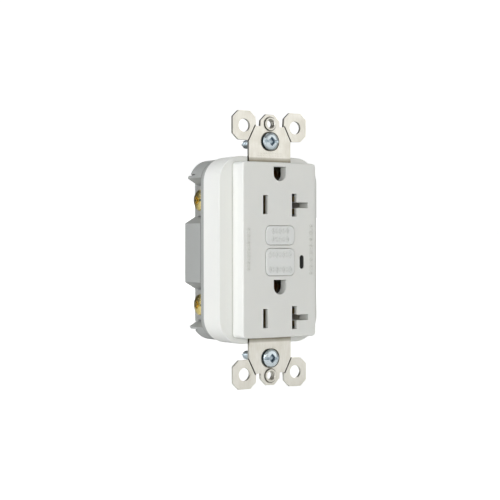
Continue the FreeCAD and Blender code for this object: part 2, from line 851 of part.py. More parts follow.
# tab bent back for the ground screw
strap.pad(dim.strap_front_y, dim.earth_tab_end_y,
          rect(dim.earth_tab_x - dim.earth_tab_half_w, dim.earth_tab_x + dim.earth_tab_half_w,
               dim.earth_tab_lo_z, dim.earth_tab_hi_z))
strap.pocket(dim.earth_tab_lo_z - PAST, dim.earth_tab_hi_z + PAST,
             circle(dim.earth_tab_x, dim.earth_y, dim.term_hole_r), plane="XY")
strap.soften(dim.strap_front_y + dim.halo_depth, dim.plate_lead, "Chamfer",
             radius=dim.plate_hole_r)

# ---------------------------------------------------------------- box mounting screws, retainers
# domed head: share of the head radius, share of the head height
BOX_HEAD = [(0.0, 1.0), (0.45, 0.97), (0.78, 0.8), (0.96, 0.45), (1.0, 0.15), (0.97, 0.0)]
seat_y = dim.strap_front_y + dim.dish_depth
neck_y = dim.box_neck_y
head_r, head_h = dim.box_head_r, dim.box_head_h
for name, z in (("upper", dim.box_screw_z), ("lower", -dim.box_screw_z)):
    screw = Piece(name + "_mounting_screw")
    screw.revolve(
        [(head_r * across, seat_y - head_h * up) for across, up in BOX_HEAD]
        + [(dim.box_neck_r, seat_y), (dim.box_neck_r, neck_y),
           (dim.box_shank_r, neck_y + 0.2), (dim.box_shank_r, neck_y + 1.1)]
        + thread(dim.box_shank_r, dim.box_root_r, neck_y + 1.2, dim.box_shank_y, dim.box_pitch)
        + [(dim.box_shank_r, dim.box_shank_y), (0.35, dim.box_tip_y), (0.0, dim.box_tip_y)])
    # long slot and the shorter, shallower one across it
    head_open = seat_y - head_h - 0.2
    screw.pocket(head_open, seat_y - head_h * 0.45, plate(head_r + 0.5, 0.42))
    screw.pocket(head_open, seat_y - head_h * 0.3, plate(0.5, 1.65))
    screw.place(z=z)
    retainer = Piece(name + "_screw_retainer")
    retainer.pad(dim.retainer_y, dim.retainer_y + dim.retainer_h,
                 circle(0.0, 0.0, dim.retainer_r), circle(0.0, 0.0, dim.retainer_hole_r))
    retainer.place(z=z)


# ---------------------------------------------------------------- buttons, reset pin and spring
def push_button(label, z_lo, z_hi, lip_inset):
    """Hollow button, open to the rear, with a retaining lip on each side."""
    button = Piece(label)
    half_w, wall = dim.button_half_w, dim.button_wall
    button.pad(dim.button_front_y, dim.button_rear_y,
               band(half_w, z_lo, z_hi, dim.button_corner))
    button.soften(dim.button_front_y, 0.3)
    button.pad(dim.lip_front_y, dim.button_rear_y,
               band(half_w + dim.button_lip, z_lo + lip_inset, z_hi - lip_inset))
    button.pocket(dim.button_front_y + wall + 0.2, dim.button_rear_y + PAST,
                  band(half_w - wall, z_lo + wall, z_hi - wall,
                       dim.button_corner - wall + 0.2))
    return button


stem_front_y = dim.button_front_y + dim.button_wall
button = push_button("test_button", dim.test_lo_z, dim.test_hi_z, 1.7)
button.pad(stem_front_y, dim.test_stem_rear_y, circle(0.0, dim.test_z, dim.test_stem_r))

button = push_button("reset_button", dim.reset_lo_z, dim.reset_hi_z, 2.3)
button.pad(stem_front_y, dim.reset_boss_rear_y, circle(0.0, dim.reset_z, dim.reset_boss_r))
button.pocket(dim.reset_pin_front_y - 0.05, dim.reset_boss_rear_y + PAST,
              circle(0.0, dim.reset_z, dim.reset_pin_r + 0.02))

pin = Piece("reset_pin")
pin.revolve([(0.0, dim.reset_pin_front_y), (dim.reset_pin_r, dim.reset_pin_front_y),
             (dim.reset_pin_r, dim.reset_head_y), (dim.reset_head_r, dim.reset_head_y),
             (dim.reset_head_r, dim.reset_head_y + dim.reset_head_len),
             (0.4, dim.reset_tip_y), (0.0, dim.reset_tip_y)])
pin.place(z=dim.reset_z)

spring = helix_spring("reset_spring", "XY", dim.spring_mean_r, dim.spring_wire_r,
                      dim.spring_front_y, dim.spring_rear_y - dim.spring_front_y,
                      dim.spring_pitch)
spring.place(z=dim.reset_z)

# ---------------------------------------------------------------- indicator
lens_half_w = dim.lamp_half_w - dim.lamp_gap
lens = Piece("indicator_lens")
lens.pad(dim.lamp_front_y, dim.lamp_rear_y,
         window(dim.lamp_x, dim.lamp_z, lens_half_w, dim.lamp_half_z - dim.lamp_gap,
                lens_half_w * 0.96))
led = Piece("indicator_led")
led.pad(dim.board_y - 0.75, dim.board_y, window(dim.lamp_x, dim.lamp_z, 0.8, 1.6, 0.25))

# ---------------------------------------------------------------- middle housing
housing = Piece("middle_housing")
open_y = -1.0                   # in front of the housing, where its cuts start
side_cell_half_z = 23.0         # outer side pockets
peg_x, peg_z = 9.0, 30.5
ground_seat_y = 1.4             # floor of the ground contacts' seats
housing_past = dim.mid_rear_y + PAST
housing.pad(dim.mid_front_y, dim.mid_rear_y,
            plate(dim.mid_half_w, dim.mid_half_z, dim.mid_corner))
housing.pad(0.0, dim.mid_rear_y, plate(dim.mid_tab_half_w, dim.mid_tab_half_z))
for side in SIDES:
    housing.pocket(open_y, dim.mid_floor_y,
                   rect(*mirrored(side, dim.cell_in_x, dim.cell_out_x),
                        dim.cell_lo_z, dim.cell_hi_z))
    housing.pocket(open_y, dim.mid_floor_y,
                   rect(*mirrored(side, dim.cell_out_x + 1.2, dim.mid_half_w - 1.0),
                        -side_cell_half_z, side_cell_half_z))
    # slot through the floor for the fixed contact
    housing.pocket(dim.mid_floor_y - 0.5, housing_past,
                   rect(*mirrored(side, dim.bus_in_x - 0.2, dim.bus_out_x + 0.2),
                        dim.reset_z - 1.8, dim.reset_z + 1.8))
    for end in SIDES:
        housing.pocket(open_y, housing_past,
                       circle(dim.post_x * side, dim.post_z * end, dim.post_r + 0.15))
        housing.pad(dim.mid_rear_y - 0.2, dim.board_y,
                    circle(peg_x * side, peg_z * end, dim.peg_r))
for z in GROUNDS:
    housing.pocket(open_y, dim.mid_floor_y, circle(0.0, z, dim.ground_cell_r))
    housing.pocket(open_y, ground_seat_y,
                   window(0, z, dim.earth_base_half_w + 0.2, dim.earth_base_half_z + 0.2))
# room for the test leaf to bend, and the seat of its root
housing.pocket(open_y, 6.0, band(2.0, dim.leaf_tip_z - 0.6, dim.leaf_root_z))
housing.pocket(open_y, dim.test_leaf_y + dim.test_leaf_th,
               band(2.0, dim.leaf_root_z - LAP, dim.leaf_top_z + 0.5))
housing.pocket(open_y, housing_past, circle(0.0, dim.reset_z, dim.pin_guide_r))
housing.pocket(open_y, housing_past, window(dim.lamp_x, dim.lamp_z, 1.2, 2.9, 1.1))

# ---------------------------------------------------------------- blade contacts
riser_th = 0.8                  # riser from the bus bar to the fixed contact pad
pad_half_z = 1.5
split_half_z = 1.35             # gap in the split leaf
bus_rear_y = dim.bus_y + dim.bus_th
pad_rear_y = dim.fixed_pad_y + dim.fixed_pad_th
leaf_out = dim.leaf_gap + dim.leaf_th
leaf_half_z = dim.leaf_half_z
for name, side, blade_x in (("hot", -1, dim.hot_x), ("neutral", 1, dim.neutral_x)):
    contacts = Piece(name + "_face_contacts")
    bus_x = mirrored(side, dim.bus_in_x, dim.bus_out_x)
    pad_z = (dim.reset_z - pad_half_z, dim.reset_z + pad_half_z)
    contacts.pad(dim.bus_y, bus_rear_y, rect(*bus_x, dim.bus_lo_z, dim.bus_hi_z))
    for z in BLADES:
        contacts.pad(dim.bus_y, bus_rear_y,
                     rect(*mirrored(side, blade_x * side - leaf_out, dim.bus_out_x),
                          z - leaf_half_z, z + leaf_half_z))
        for leaf_side in SIDES:
            leaf_x = [blade_x + x for x in mirrored(leaf_side, dim.leaf_gap, leaf_out)]
            if name == "neutral" and leaf_side == side:
                # the outer leaf is split for the horizontal leg
                leaves = [rect(*leaf_x, z + split_half_z, z + leaf_half_z),
                          rect(*leaf_x, z - leaf_half_z, z - split_half_z)]
            else:
                leaves = [rect(*leaf_x, z - leaf_half_z, z + leaf_half_z)]
            contacts.pad(dim.leaf_front_y, dim.bus_y + LAP, *leaves)
    contacts.pad(dim.bus_y, pad_rear_y,
                 rect(*mirrored(side, dim.bus_out_x - riser_th, dim.bus_out_x), *pad_z))
    contacts.pad(dim.fixed_pad_y, pad_rear_y, rect(*bus_x, *pad_z))
    contacts.pad(dim.fixed_pad_y + LAP, pad_rear_y + dim.fixed_rivet_h,
                 circle(dim.contact_x * side, dim.reset_z, dim.contact_r))

# ---------------------------------------------------------------- ground contacts and rivets
finger_in = dim.earth_leaf_in
finger_out = finger_in + dim.earth_leaf_th
for name, ground_z in (("upper", ground_up_z), ("lower", ground_lo_z)):
    contact = Piece(name + "_ground_contact")
    contact.pad(0.0, dim.earth_base_th, plate(dim.earth_base_half_w, dim.earth_base_half_z))
    for side in SIDES:
        contact.pad(0.0, dim.earth_leaf_y,
                    rect(*mirrored(side, finger_in, finger_out),
                         dim.earth_leaf_lo, dim.earth_leaf_hi))
    contact.pad(0.0, dim.earth_leaf_y, band(dim.earth_leaf_half, -finger_out, -finger_in))
    contact.pocket(-PAST, dim.earth_base_th + PAST,
                   band(finger_in, -finger_in, finger_in + 0.2))
    contact.pocket(-PAST, 2.0,
                   *[circle(dim.rivet_x * side, 0.0, dim.rivet_r + 0.05) for side in SIDES])
    contact.place(z=ground_z)

rivets = []
for z in GROUNDS:
    for side in SIDES:
        name = "rivet%d" % len(rivets)
        x = dim.rivet_x * side
        rivets.append(fuse(name, [
            cylinder(name + "_shank", dim.rivet_r, dim.earth_base_th - dim.strap_front_y, "y",
                     x, dim.strap_front_y, z),
            cylinder(name + "_head", dim.rivet_head_r, dim.rivet_head_h, "y",
                     x, dim.strap_front_y - dim.rivet_head_h, z),
            cylinder(name + "_tail", dim.rivet_head_r - 0.2, dim.rivet_head_h, "y",
                     x, dim.earth_base_th, z)]))
group("ground_rivets", rivets)

# ---------------------------------------------------------------- test leaf
leaf = Piece("test_contact_leaf")
leaf.pad(dim.test_leaf_y, dim.test_leaf_y + dim.test_leaf_th,
         band(dim.test_leaf_half_w, dim.leaf_tip_z, dim.leaf_top_z))

# ---------------------------------------------------------------- rear body
rear = Piece("rear_body")
rear_open = dim.rear_front_y - PAST
rear_past = dim.rear_back_y + PAST
rear.pad(dim.rear_front_y, dim.rear_back_y,
         plate(dim.rear_half_w, dim.rear_half_z, dim.rear_corner))
rear.soften(dim.rear_back_y, 0.8)
rear.pocket(rear_open, dim.deep_y, plate(dim.cav_half_w, dim.cav_half_z, 1.5))
# upper half of the deep cavity: x, z
deep_upper = both_sides([(dim.cav_half_w, 25.8), (dim.deep_in_x, 27.0),
                         (dim.deep_in_x, 29.0), (11.2, dim.deep_hi_z)])
rear.pocket(dim.deep_y - 0.5, dim.rear_floor_y,
            poly(deep_upper + [(x, -z) for x, z in reversed(deep_upper)]))
depth = dim.seam_depth
rear.pocket(dim.seam_y, dim.seam_y + dim.seam_w,
            plate(dim.rear_half_w + 1, dim.rear_half_z + 1),
            plate(dim.rear_half_w - depth, dim.rear_half_z - depth, dim.rear_corner - depth))
rear.pocket(rear_open, dim.rear_floor_y,
            band(dim.waist_half_w, dim.waist_lo_z, dim.waist_hi_z, 0.8))

# the ramps beside the bays run from the bay floor to just past the outer face
floor_x = dim.bay_floor_x
out_x = dim.rear_half_w + 1
ramp_rise = (out_x - floor_x) * dim.bay_slope
slit_inset = 1.4        # inner end of the slit, out from the bay floor
slit_offset = 1.3       # slit beyond the bay's end ramp
slit_x = floor_x + slit_inset
for side in SIDES:
    for edge_z, end_z, up, plate_z in (
            (dim.bay_up_edge_z, dim.bay_up_end_z, 1, TERMINALS[0][1]),
            (dim.bay_lo_edge_z, dim.bay_lo_end_z, -1, TERMINALS[1][1])):
        slope = dim.bay_slope * up
        rise = ramp_rise * up
        rib_z = end_z + dim.end_rib * up
        slit_z = end_z + slit_offset * up + slope * slit_inset
        slit_far_z = slit_z + dim.end_slit * up
        slit_rise = (out_x - slit_x) * slope
        bay = [(out_x, edge_z - slope), (floor_x, edge_z + (dim.rear_half_w - floor_x) * slope),
               (floor_x, end_z), (out_x, end_z + rise)]
        # rib beside the bay, lower than the middle of the back
        rib = [(out_x, end_z + rise), (floor_x, end_z), (floor_x, rib_z), (out_x, rib_z + rise)]
        # slit along the ramp in the end rib, open to the side and to the back
        slit = [(slit_x, slit_z), (slit_x, slit_far_z),
                (out_x, slit_far_z + slit_rise), (out_x, slit_z + slit_rise)]
        for front_y, points in ((dim.bay_front_y, bay), (dim.end_rib_back_y, rib),
                                (dim.end_lo_back_y - 2.0, slit)):
            rear.pocket(front_y, rear_past, poly([(x * side, z) for x, z in points]))
        # seat of the terminal plate
        rear.pocket(*mirrored(side, dim.term_in_x, floor_x + 0.5),
                    rect(dim.term_front_y - 0.1, dim.term_back_y + 0.1,
                         plate_z - dim.term_half_z - 0.1, plate_z + dim.term_half_z + 0.1),
                    plane="YZ")
    # screw hole and connection tab slot through each bay floor
    floor_span = mirrored(side, dim.deep_in_x - 0.5, floor_x + 0.5)
    for screw_z, _ in TERMINALS:
        rear.pocket(*floor_span, circle(dim.term_y, screw_z, dim.wall_hole_r), plane="YZ")
        rear.pocket(*floor_span,
                    rect(dim.term_tab_y - 0.1, dim.term_tab_y + dim.term_tab_th + 0.1,
                         screw_z - dim.term_tab_half_z - 0.1,
                         screw_z + dim.term_tab_half_z + 0.1), plane="YZ")
    for end in SIDES:
        x, z = dim.post_x * side, dim.post_z * end
        rear.pocket(rear_open, rear_past, circle(x, z, dim.house_hole_r))
        rear.pocket(dim.house_bore_y, rear_past, circle(x, z, dim.house_bore_r))

# the ends stand lower than the middle of the back
for end_z, shoulder_z, back_y, up in (
        (dim.bay_up_end_z, dim.end_up_z, dim.end_up_back_y, 1),
        (dim.bay_lo_end_z, dim.end_lo_z, dim.end_lo_back_y, -1)):
    rib_z = end_z + dim.end_rib * up
    outer_z = (dim.rear_half_z + 1) * up
    half = [(out_x, rib_z + ramp_rise * up), (floor_x, rib_z), (dim.end_in_x, rib_z),
            (dim.end_in_x, shoulder_z), (dim.end_top_x, dim.end_top_z * up)]
    rear.pocket(back_y, rear_past,
                poly(both_sides(half) + [(-out_x, outer_z), (out_x, outer_z)]))

# ---------------------------------------------------------------- housing screws
screws = []
for end in SIDES:
    for side in SIDES:
        name = "house_screw%d" % len(screws)
        x, z = dim.post_x * side, dim.post_z * end
        bore_y = dim.house_bore_y
        raw = fuse(name + "_raw", [
            cylinder(name + "_shank", dim.house_screw_r, bore_y - dim.house_tip_y, "y",
                     x, dim.house_tip_y, z),
            cylinder(name + "_head", dim.house_head_r, dim.house_head_h, "y", x, bore_y, z)])
        drive_cross = fuse(name + "_drive", [
            block(name + tag, x, bore_y + 0.5, bore_y + 2, z, half_w, half_z)
            for tag, half_w, half_z in (("_slot", 1.2, 0.3), ("_slot2", 0.3, 1.2))])
        screw = doc.addObject("Part::Cut", name)
        screw.Base = raw
        screw.Tool = drive_cross
        screws.append(screw)
group("housing_screws", screws)


# ---------------------------------------------------------------- terminals
def terminal_plate(label, side, screw_z, plate_z):
    terminal = Piece(label)
    inner = dim.term_in_x
    outer = inner + dim.term_plate_th
    terminal.pad(*mirrored(side, inner, outer),
                 rect(dim.term_front_y, dim.term_back_y,
                      plate_z - dim.term_half_z, plate_z + dim.term_half_z), plane="YZ")
    terminal.pad(*mirrored(side, dim.term_tab_in_x, inner + LAP),
                 rect(dim.term_tab_y, dim.term_tab_y + dim.term_tab_th,
                      screw_z - dim.term_tab_half_z, screw_z + dim.term_tab_half_z),
                 plane="YZ")
    terminal.pocket(*mirrored(side, inner - 0.5, outer + 0.5),
                    circle(dim.term_y, screw_z, dim.term_hole_r), plane="YZ")


def terminal_clamp(label, side, screw_z, plate_z):
    clamp = Piece(label)
    inner = dim.clamp_in_x
    outer = inner + dim.clamp_th
    z_lo, z_hi = plate_z - dim.clamp_half_z, plate_z + dim.clamp_half_z
    clamp.pad(*mirrored(side, inner, outer),
              rect(dim.clamp_front_y, dim.clamp_back_y, z_lo, z_hi, 1.0), plane="YZ")
    clamp.pocket(*mirrored(side, inner - 0.5, outer + 0.5),
                 circle(dim.term_y, screw_z, dim.clamp_hole_r), plane="YZ")
    # grooves that grip the wire, five below the hole and five above
    groove_y, groove_w, groove_pitch, groove_depth = dim.clamp_front_y + 1.2, 0.5, 1.3, 0.25
    clamp.pocket(*mirrored(side, inner - 0.5, inner + groove_depth),
                 *[rect(groove_y + i * groove_pitch, groove_y + i * groove_pitch + groove_w,
                        low, high)
                   for low, high in ((z_lo + 0.6, plate_z - 2.6), (plate_z + 2.9, z_hi - 0.6))
                   for i in range(5)], plane="YZ")


def terminal_screw(label, side, screw_z):
    """Modelled with its head towards +X, turned round for the left side."""
    screw = Piece(label)
    tip_x, under_x = dim.tscrew_tip_x, dim.tscrew_head_x
    shank_r, head_r = dim.tscrew_shank_r, dim.tscrew_head_r
    top_x = under_x + dim.tscrew_head_h
    rim_x = under_x + dim.tscrew_rim_h
    dome = dim.tscrew_head_h - dim.tscrew_rim_h
    teeth = thread(shank_r, dim.tscrew_root_r, tip_x + 0.6, under_x - 0.4, dim.tscrew_pitch)
    screw.revolve(
        [(tip_x, 0.0), (tip_x, dim.tscrew_root_r), (tip_x + 0.5, shank_r)]
        + [(x, radius) for radius, x in teeth]
        + [(under_x, shank_r), (under_x, head_r * 0.96), (under_x + 0.15, head_r),
           (rim_x, head_r), (rim_x + dome * 0.55, head_r * 0.86),
           (rim_x + dome * 0.9, head_r * 0.55), (top_x, head_r * 0.2), (top_x, 0.0)],
        axis="H_Axis")
    screw.pocket(under_x + dim.tscrew_head_h * 0.42, top_x + PAST,
                 plate(0.6, head_r + 1), plane="YZ")
    screw.pocket(under_x + dim.tscrew_head_h * 0.3, top_x + PAST, plate(2.0, 0.55), plane="YZ")
    screw.place(y=dim.term_y, z=screw_z, turn=0.0 if side > 0 else 180.0)


for pole, side in (("hot", -1), ("neutral", 1)):
    for feed, (screw_z, plate_z) in zip(("load_", "line_"), TERMINALS):
        terminal_plate(feed + pole + "_terminal", side, screw_z, plate_z)
        terminal_clamp(feed + pole + "_clamp", side, screw_z, plate_z)
        terminal_screw(feed + pole + "_screw", side, screw_z)

# ---------------------------------------------------------------- ground screw and its clamp
clamp = Piece("ground_clamp")
clamp_low_z = dim.eclamp_hi_z - dim.eclamp_th
clamp.pad(clamp_low_z, dim.eclamp_hi_z,
          window(dim.earth_tab_x, dim.earth_y, dim.eclamp_half, dim.eclamp_half, 0.8),
          circle(dim.earth_tab_x, dim.earth_y, dim.clamp_hole_r), plane="XY")

screw = Piece("ground_screw")       # its head is at the lower end
under_z = clamp_low_z - dim.escrew_gap
head_z = under_z - dim.escrew_head_h
head_r, shank_r = dim.escrew_head_r, dim.tscrew_shank_r
screw.revolve([(0.0, head_z), (head_r * 0.85, head_z), (head_r, head_z + 0.4),
               (head_r, under_z), (shank_r, under_z), (shank_r, dim.escrew_tip_z - 0.4),
               (shank_r - 0.4, dim.escrew_tip_z), (0.0, dim.escrew_tip_z)], plane="XZ")
screw.pocket(head_z - PAST, head_z + 0.9, plate(head_r + 1, 0.5), plane="XY")
screw.pocket(head_z - PAST, head_z + 1.1, plate(0.5, 1.7), plane="XY")
screw.place(x=dim.earth_tab_x, y=dim.earth_y)

# ---------------------------------------------------------------- circuit board
board = Piece("circuit_board")
board.pad(dim.board_y, board_back, plate(dim.board_half_w, dim.board_half_z, 1.5))
for side in SIDES:
    board.pocket(dim.board_y - PAST, board_back + PAST,
                 rect(*mirrored(side, dim.board_cut_in_x, dim.board_half_w + 1),
                      dim.board_cut_lo_z, dim.board_cut_hi_z))
board.pocket(dim.board_y - PAST, board_back + PAST, circle(0.0, dim.reset_z, 1.6),
             *[circle(dim.lead_x * side, dim.sensor_z, dim.lead_hole_r) for side in SIDES])

# ---------------------------------------------------------------- parts on the board
# label, height, fillet round the top, outline
for label, height, edge, shape in (
        ("varistor", 3.2, 0.9, circle(-9.6, 12.0, 4.2)),
        ("filter_capacitor", 3.6, 0.5, rect(6.8, 13.6, 24.8, 29.0, 0.6)),
        ("smoothing_capacitor", 4.4, 0.4, circle(9.8, 11.2, 2.6))):
    part = Piece(label)
    part.pad(board_back, board_back + height, shape)
    part.soften(board_back + height, edge)

# x, z of the thyristor's outline
THYRISTOR = [(-12.6, 26.4), (-8.0, 26.4), (-8.0, 28.0), (-9.2, 29.6), (-11.4, 29.6),
             (-12.6, 28.0)]
thyristor = Piece("thyristor")
thyristor.pad(board_back, board_back + 4.2, poly(THYRISTOR))

chip = Piece("control_chip")
foot_pitch, foot_z, foot_w, foot_len = 1.27, 17.6, 0.45, 1.0
chip.pad(board_back + 0.15, board_back + 1.75, rect(7.6, 11.5, 17.2, 22.2))
chip.pad(board_back, board_back + 0.5,
         *[rect(x, x + foot_len, foot_z + foot_pitch * i, foot_z + foot_w + foot_pitch * i)
           for i in range(4) for x in (6.8, 11.3)])

# x, z of the centres
RESISTORS = [(-7.8, 19.4), (-9.9, 19.4), (-12.0, 19.4), (7.4, 4.4), (9.6, 4.4)]
DIODES = [(-7.6, 5.0), (-10.2, 5.0), (-12.8, 5.0)]
barrel_r, barrel_half, cap_r, cap_len, cap_end = 0.75, 1.8, 0.9, 0.7, 2.0
resistors = []
for i, (x, z) in enumerate(RESISTORS):
    name = "resistor%d" % i
    y = board_back + cap_r
    resistors.append(fuse(name, [
        cylinder(name + "_barrel", barrel_r, barrel_half * 2, "z", x, y, z - barrel_half),
        cylinder(name + "_cap1", cap_r, cap_len, "z", x, y, z - cap_end),
        cylinder(name + "_cap2", cap_r, cap_len, "z", x, y, z + cap_end - cap_len)]))
group("resistors", resistors)
group("diodes", [block("diode%d" % i, x, board_back, board_back + 1.5, z, 0.7, 1.8)
                 for i, (x, z) in enumerate(DIODES)])

# ---------------------------------------------------------------- current sensor
sensor = Piece("sensor_housing")
wall = dim.sensor_wall
bore_wall_r, outer_wall_r = dim.sensor_bore_r + wall, dim.sensor_r - wall
lid_y = dim.sensor_back_y - wall
sensor.revolve([(dim.sensor_bore_r, board_back), (bore_wall_r, board_back),
                (bore_wall_r, lid_y), (outer_wall_r, lid_y), (outer_wall_r, board_back),
                (dim.sensor_r, board_back), (dim.sensor_r, dim.sensor_back_y),
                (dim.sensor_bore_r, dim.sensor_back_y)])
sensor.place(z=dim.sensor_z)

for name, front_y in (("differential", dim.core_a_y), ("grounded_neutral", dim.core_b_y)):
    rear_y = front_y + dim.core_len
    core = Piece(name + "_core")
    core.revolve([(dim.core_in_r, front_y), (dim.core_out_r, front_y),
                  (dim.core_out_r, rear_y), (dim.core_in_r, rear_y)])
    core.place(z=dim.sensor_z)

    # one rectangular turn round the core's section, repeated about its axis
    winding = Piece(name + "_winding")
    body = winding.body
    profile = winding.sketch("XY", 0.0, *[
        rect(dim.core_in_r - away, dim.core_out_r + away, front_y - away, rear_y + away)
        for away in (dim.turn_gap + dim.turn_th, dim.turn_gap)])
    turn = body.newObject("PartDesign::Pad", body.Name + "_turn")
    turn.Profile = profile
    drive(turn, "Length", dim.turn_th)
    turn.SideType = "Symmetric"
    turns = body.newObject("PartDesign::PolarPattern", body.Name + "_turns")
    turns.Originals = [turn]
    turns.Axis = (profile, ["V_Axis"])
    turns.Angle = 360.0
    turns.Occurrences = 22
    body.Tip = turns
    body.AllowCompound = True
    winding.place(z=dim.sensor_z)

# conductors from the line terminals through the sensor
lead_front_y = dim.board_y - 0.9
lead_back_y = dim.sensor_back_y + dim.lead_r + 0.1
for label, side in (("line_hot_lead", -1), ("line_neutral_lead", 1)):
    x = dim.lead_x * side
    low, high = mirrored(side, dim.lead_x, dim.term_tab_in_x + 1.4)
    bend = doc.addObject("Part::Sphere", label + "_bend")
    drive(bend, "Radius", dim.lead_r)
    locate(bend, x, lead_back_y, dim.sensor_z, FreeCAD.Rotation())
    nodes[label] = fuse(label, [
        cylinder(label + "_run", dim.lead_r, lead_back_y - lead_front_y, "y",
                 x, lead_front_y, dim.sensor_z),
        bend,
        cylinder(label + "_cross", dim.lead_r, high - low, "x",
                 low, lead_back_y, dim.sensor_z)])

# ---------------------------------------------------------------- solenoid
coil_y, flange = dim.coil_y, dim.coil_flange
bobbin = Piece("solenoid_bobbin")
bobbin.pad(dim.coil_lo_z, dim.coil_hi_z, circle(0.0, coil_y, dim.coil_tube_out_r), plane="XY")
for z in (dim.coil_lo_z, dim.coil_hi_z - flange):
    bobbin.pad(z, z + flange, window(0, coil_y, dim.coil_half, dim.coil_half, 0.8), plane="XY")
bobbin.pocket(dim.coil_lo_z - PAST, dim.coil_hi_z + PAST,
              circle(0.0, coil_y, dim.coil_tube_in_r), plane="XY")

coil = Piece("solenoid_coil")
coil.pad(dim.coil_lo_z + flange + 0.05, dim.coil_hi_z - flange - 0.05,
         circle(0.0, coil_y, dim.coil_out_r),
         circle(0.0, coil_y, dim.coil_tube_out_r + 0.05), plane="XY")

# C-shaped frame, open at the sides and towards the board
frame = Piece("solenoid_frame")
inner_lo_z, inner_hi_z = dim.coil_lo_z - dim.frame_gap, dim.coil_hi_z + dim.frame_gap
frame_lo_z, frame_hi_z = inner_lo_z - dim.frame_th, inner_hi_z + dim.frame_th
inner_y = coil_y + dim.coil_half + dim.frame_gap
frame.pad(frame_lo_z, frame_hi_z,
          band(dim.coil_half, board_back + 0.4, inner_y + 0.85), plane="XY")
frame.pocket(inner_lo_z, inner_hi_z,
             band(dim.coil_half + 1, board_back - PAST, inner_y), plane="XY")
frame.pocket(frame_lo_z - PAST, frame_hi_z + PAST,
             circle(0.0, coil_y, dim.coil_tube_in_r + 0.05), plane="XY")

plunger = Piece("solenoid_plunger")
rod_r, cap_z = dim.plunger_rod_r, dim.plunger_hi_z + dim.plunger_cap_h
plunger.revolve([(0.0, dim.plunger_tip_z), (rod_r - 0.2, dim.plunger_tip_z),
                 (rod_r, dim.plunger_tip_z + 0.3), (rod_r, dim.plunger_lo_z),
                 (dim.plunger_r, dim.plunger_lo_z), (dim.plunger_r, dim.plunger_hi_z),
                 (dim.plunger_cap_r, dim.plunger_hi_z), (dim.plunger_cap_r, cap_z),
                 (0.0, cap_z)], plane="XZ")
plunger.place(y=coil_y)

# the spring stands between the frame and the plunger's cap
wire_space = dim.pspring_wire_r + 0.05
spring_z = frame_hi_z + wire_space
spring = helix_spring("plunger_spring", "XZ", dim.pspring_mean_r, dim.pspring_wire_r, spring_z,
                      dim.plunger_hi_z - wire_space - spring_z, pitch=1.0)
spring.place(y=coil_y)

# ---------------------------------------------------------------- trip mechanism
carrier = Piece("contact_carrier")
gap = dim.latch_gap
latch_back_y = dim.latch_y + dim.latch_th
carrier.pad(dim.carrier_front_y, dim.carrier_back_y,
            band(dim.carrier_half_w, dim.carrier_lo_z, dim.carrier_hi_z))
carrier.pad(dim.wing_front_y, dim.wing_back_y,
            band(dim.wing_half_w, dim.wing_lo_z, dim.wing_hi_z))
carrier.pocket(dim.latch_y - gap, latch_back_y + gap,
               band(dim.latch_half_w + gap, dim.carrier_lo_z - PAST, dim.carrier_hi_z + PAST))
carrier.pocket(dim.wing_front_y - PAST, dim.carrier_back_y + PAST,
               circle(0.0, dim.reset_z, dim.latch_slot_r))
# pocket in the back on each side of the latch plate
carrier.pocket(dim.carrier_front_y + 2.4, dim.carrier_back_y + PAST,
               *[rect(*mirrored(side, 4.4, dim.carrier_half_w - 1),
                      dim.carrier_lo_z + 1, dim.carrier_hi_z - 1) for side in SIDES])

latch = Piece("latch_plate")
slot_r = dim.latch_slot_r
latch.pad(dim.latch_y, latch_back_y, band(dim.latch_half_w, dim.latch_lo_z, dim.latch_hi_z))
latch.pad(dim.latch_tab_front_y, dim.latch_tab_back_y,
          band(dim.latch_half_w, dim.latch_hi_z - dim.latch_th, dim.latch_hi_z))
latch.pocket(dim.latch_y - PAST, latch_back_y + PAST,
             band(slot_r, dim.reset_z - slot_r, dim.reset_z + dim.latch_travel + slot_r,
                  slot_r * NEAR_ROUND))

for label, side in (("line_hot_arm", -1), ("line_neutral_arm", 1)):
    arm = Piece(label)
    arm.pad(dim.arm_y, dim.arm_y + dim.arm_th,
            rect(*mirrored(side, dim.arm_in_x, dim.arm_out_x), dim.arm_root_z, dim.arm_tip_z))
    arm.pad(dim.arm_y - dim.arm_rivet_h, dim.arm_y + LAP,
            circle(dim.contact_x * side, dim.reset_z, dim.contact_r))

# ---------------------------------------------------------------- recompute, check and write
doc.recompute()
problems = []
for thing in doc.Objects:
    if any(word in state for word in ("Invalid", "Error") for state in thing.State):
        problems.append("%s: %s" % (thing.Name, thing.State))
for feature, sign in checks:
    base = getattr(feature, "BaseFeature", None)
    before = base.Shape.Volume if base is not None and not base.Shape.isNull() else 0.0
    after = feature.Shape.Volume
    if sign * (after - before) <= 1e-6:
        problems.append("%s changes nothing (%.4f -> %.4f)" % (feature.Name, before, after))
for label, thing in nodes.items():
    shape = thing.Shape
    if shape.isNull() or not shape.isValid() or shape.Volume <= 0 or not shape.Solids:
        problems.append("%s has a bad shape" % label)
if problems:
    raise SystemExit("\n".join(problems))

os.makedirs("parts", exist_ok=True)
for old in os.listdir("parts"):
    if old.endswith(".step") and old[:-5] not in nodes:
        os.remove(os.path.join("parts", old))
for label, thing in nodes.items():
    thing.Shape.exportStep("parts/%s.step" % label)
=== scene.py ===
# Looks for a ground-fault outlet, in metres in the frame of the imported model.
# The face looks along -Y, the long side stands along Z and X runs across; the origin is the
# middle of the outlet. Marks on the faces are generic lozenges and bars.
import json
import math
from collections import namedtuple

import bmesh
import bpy
from mathutils import Matrix, Vector


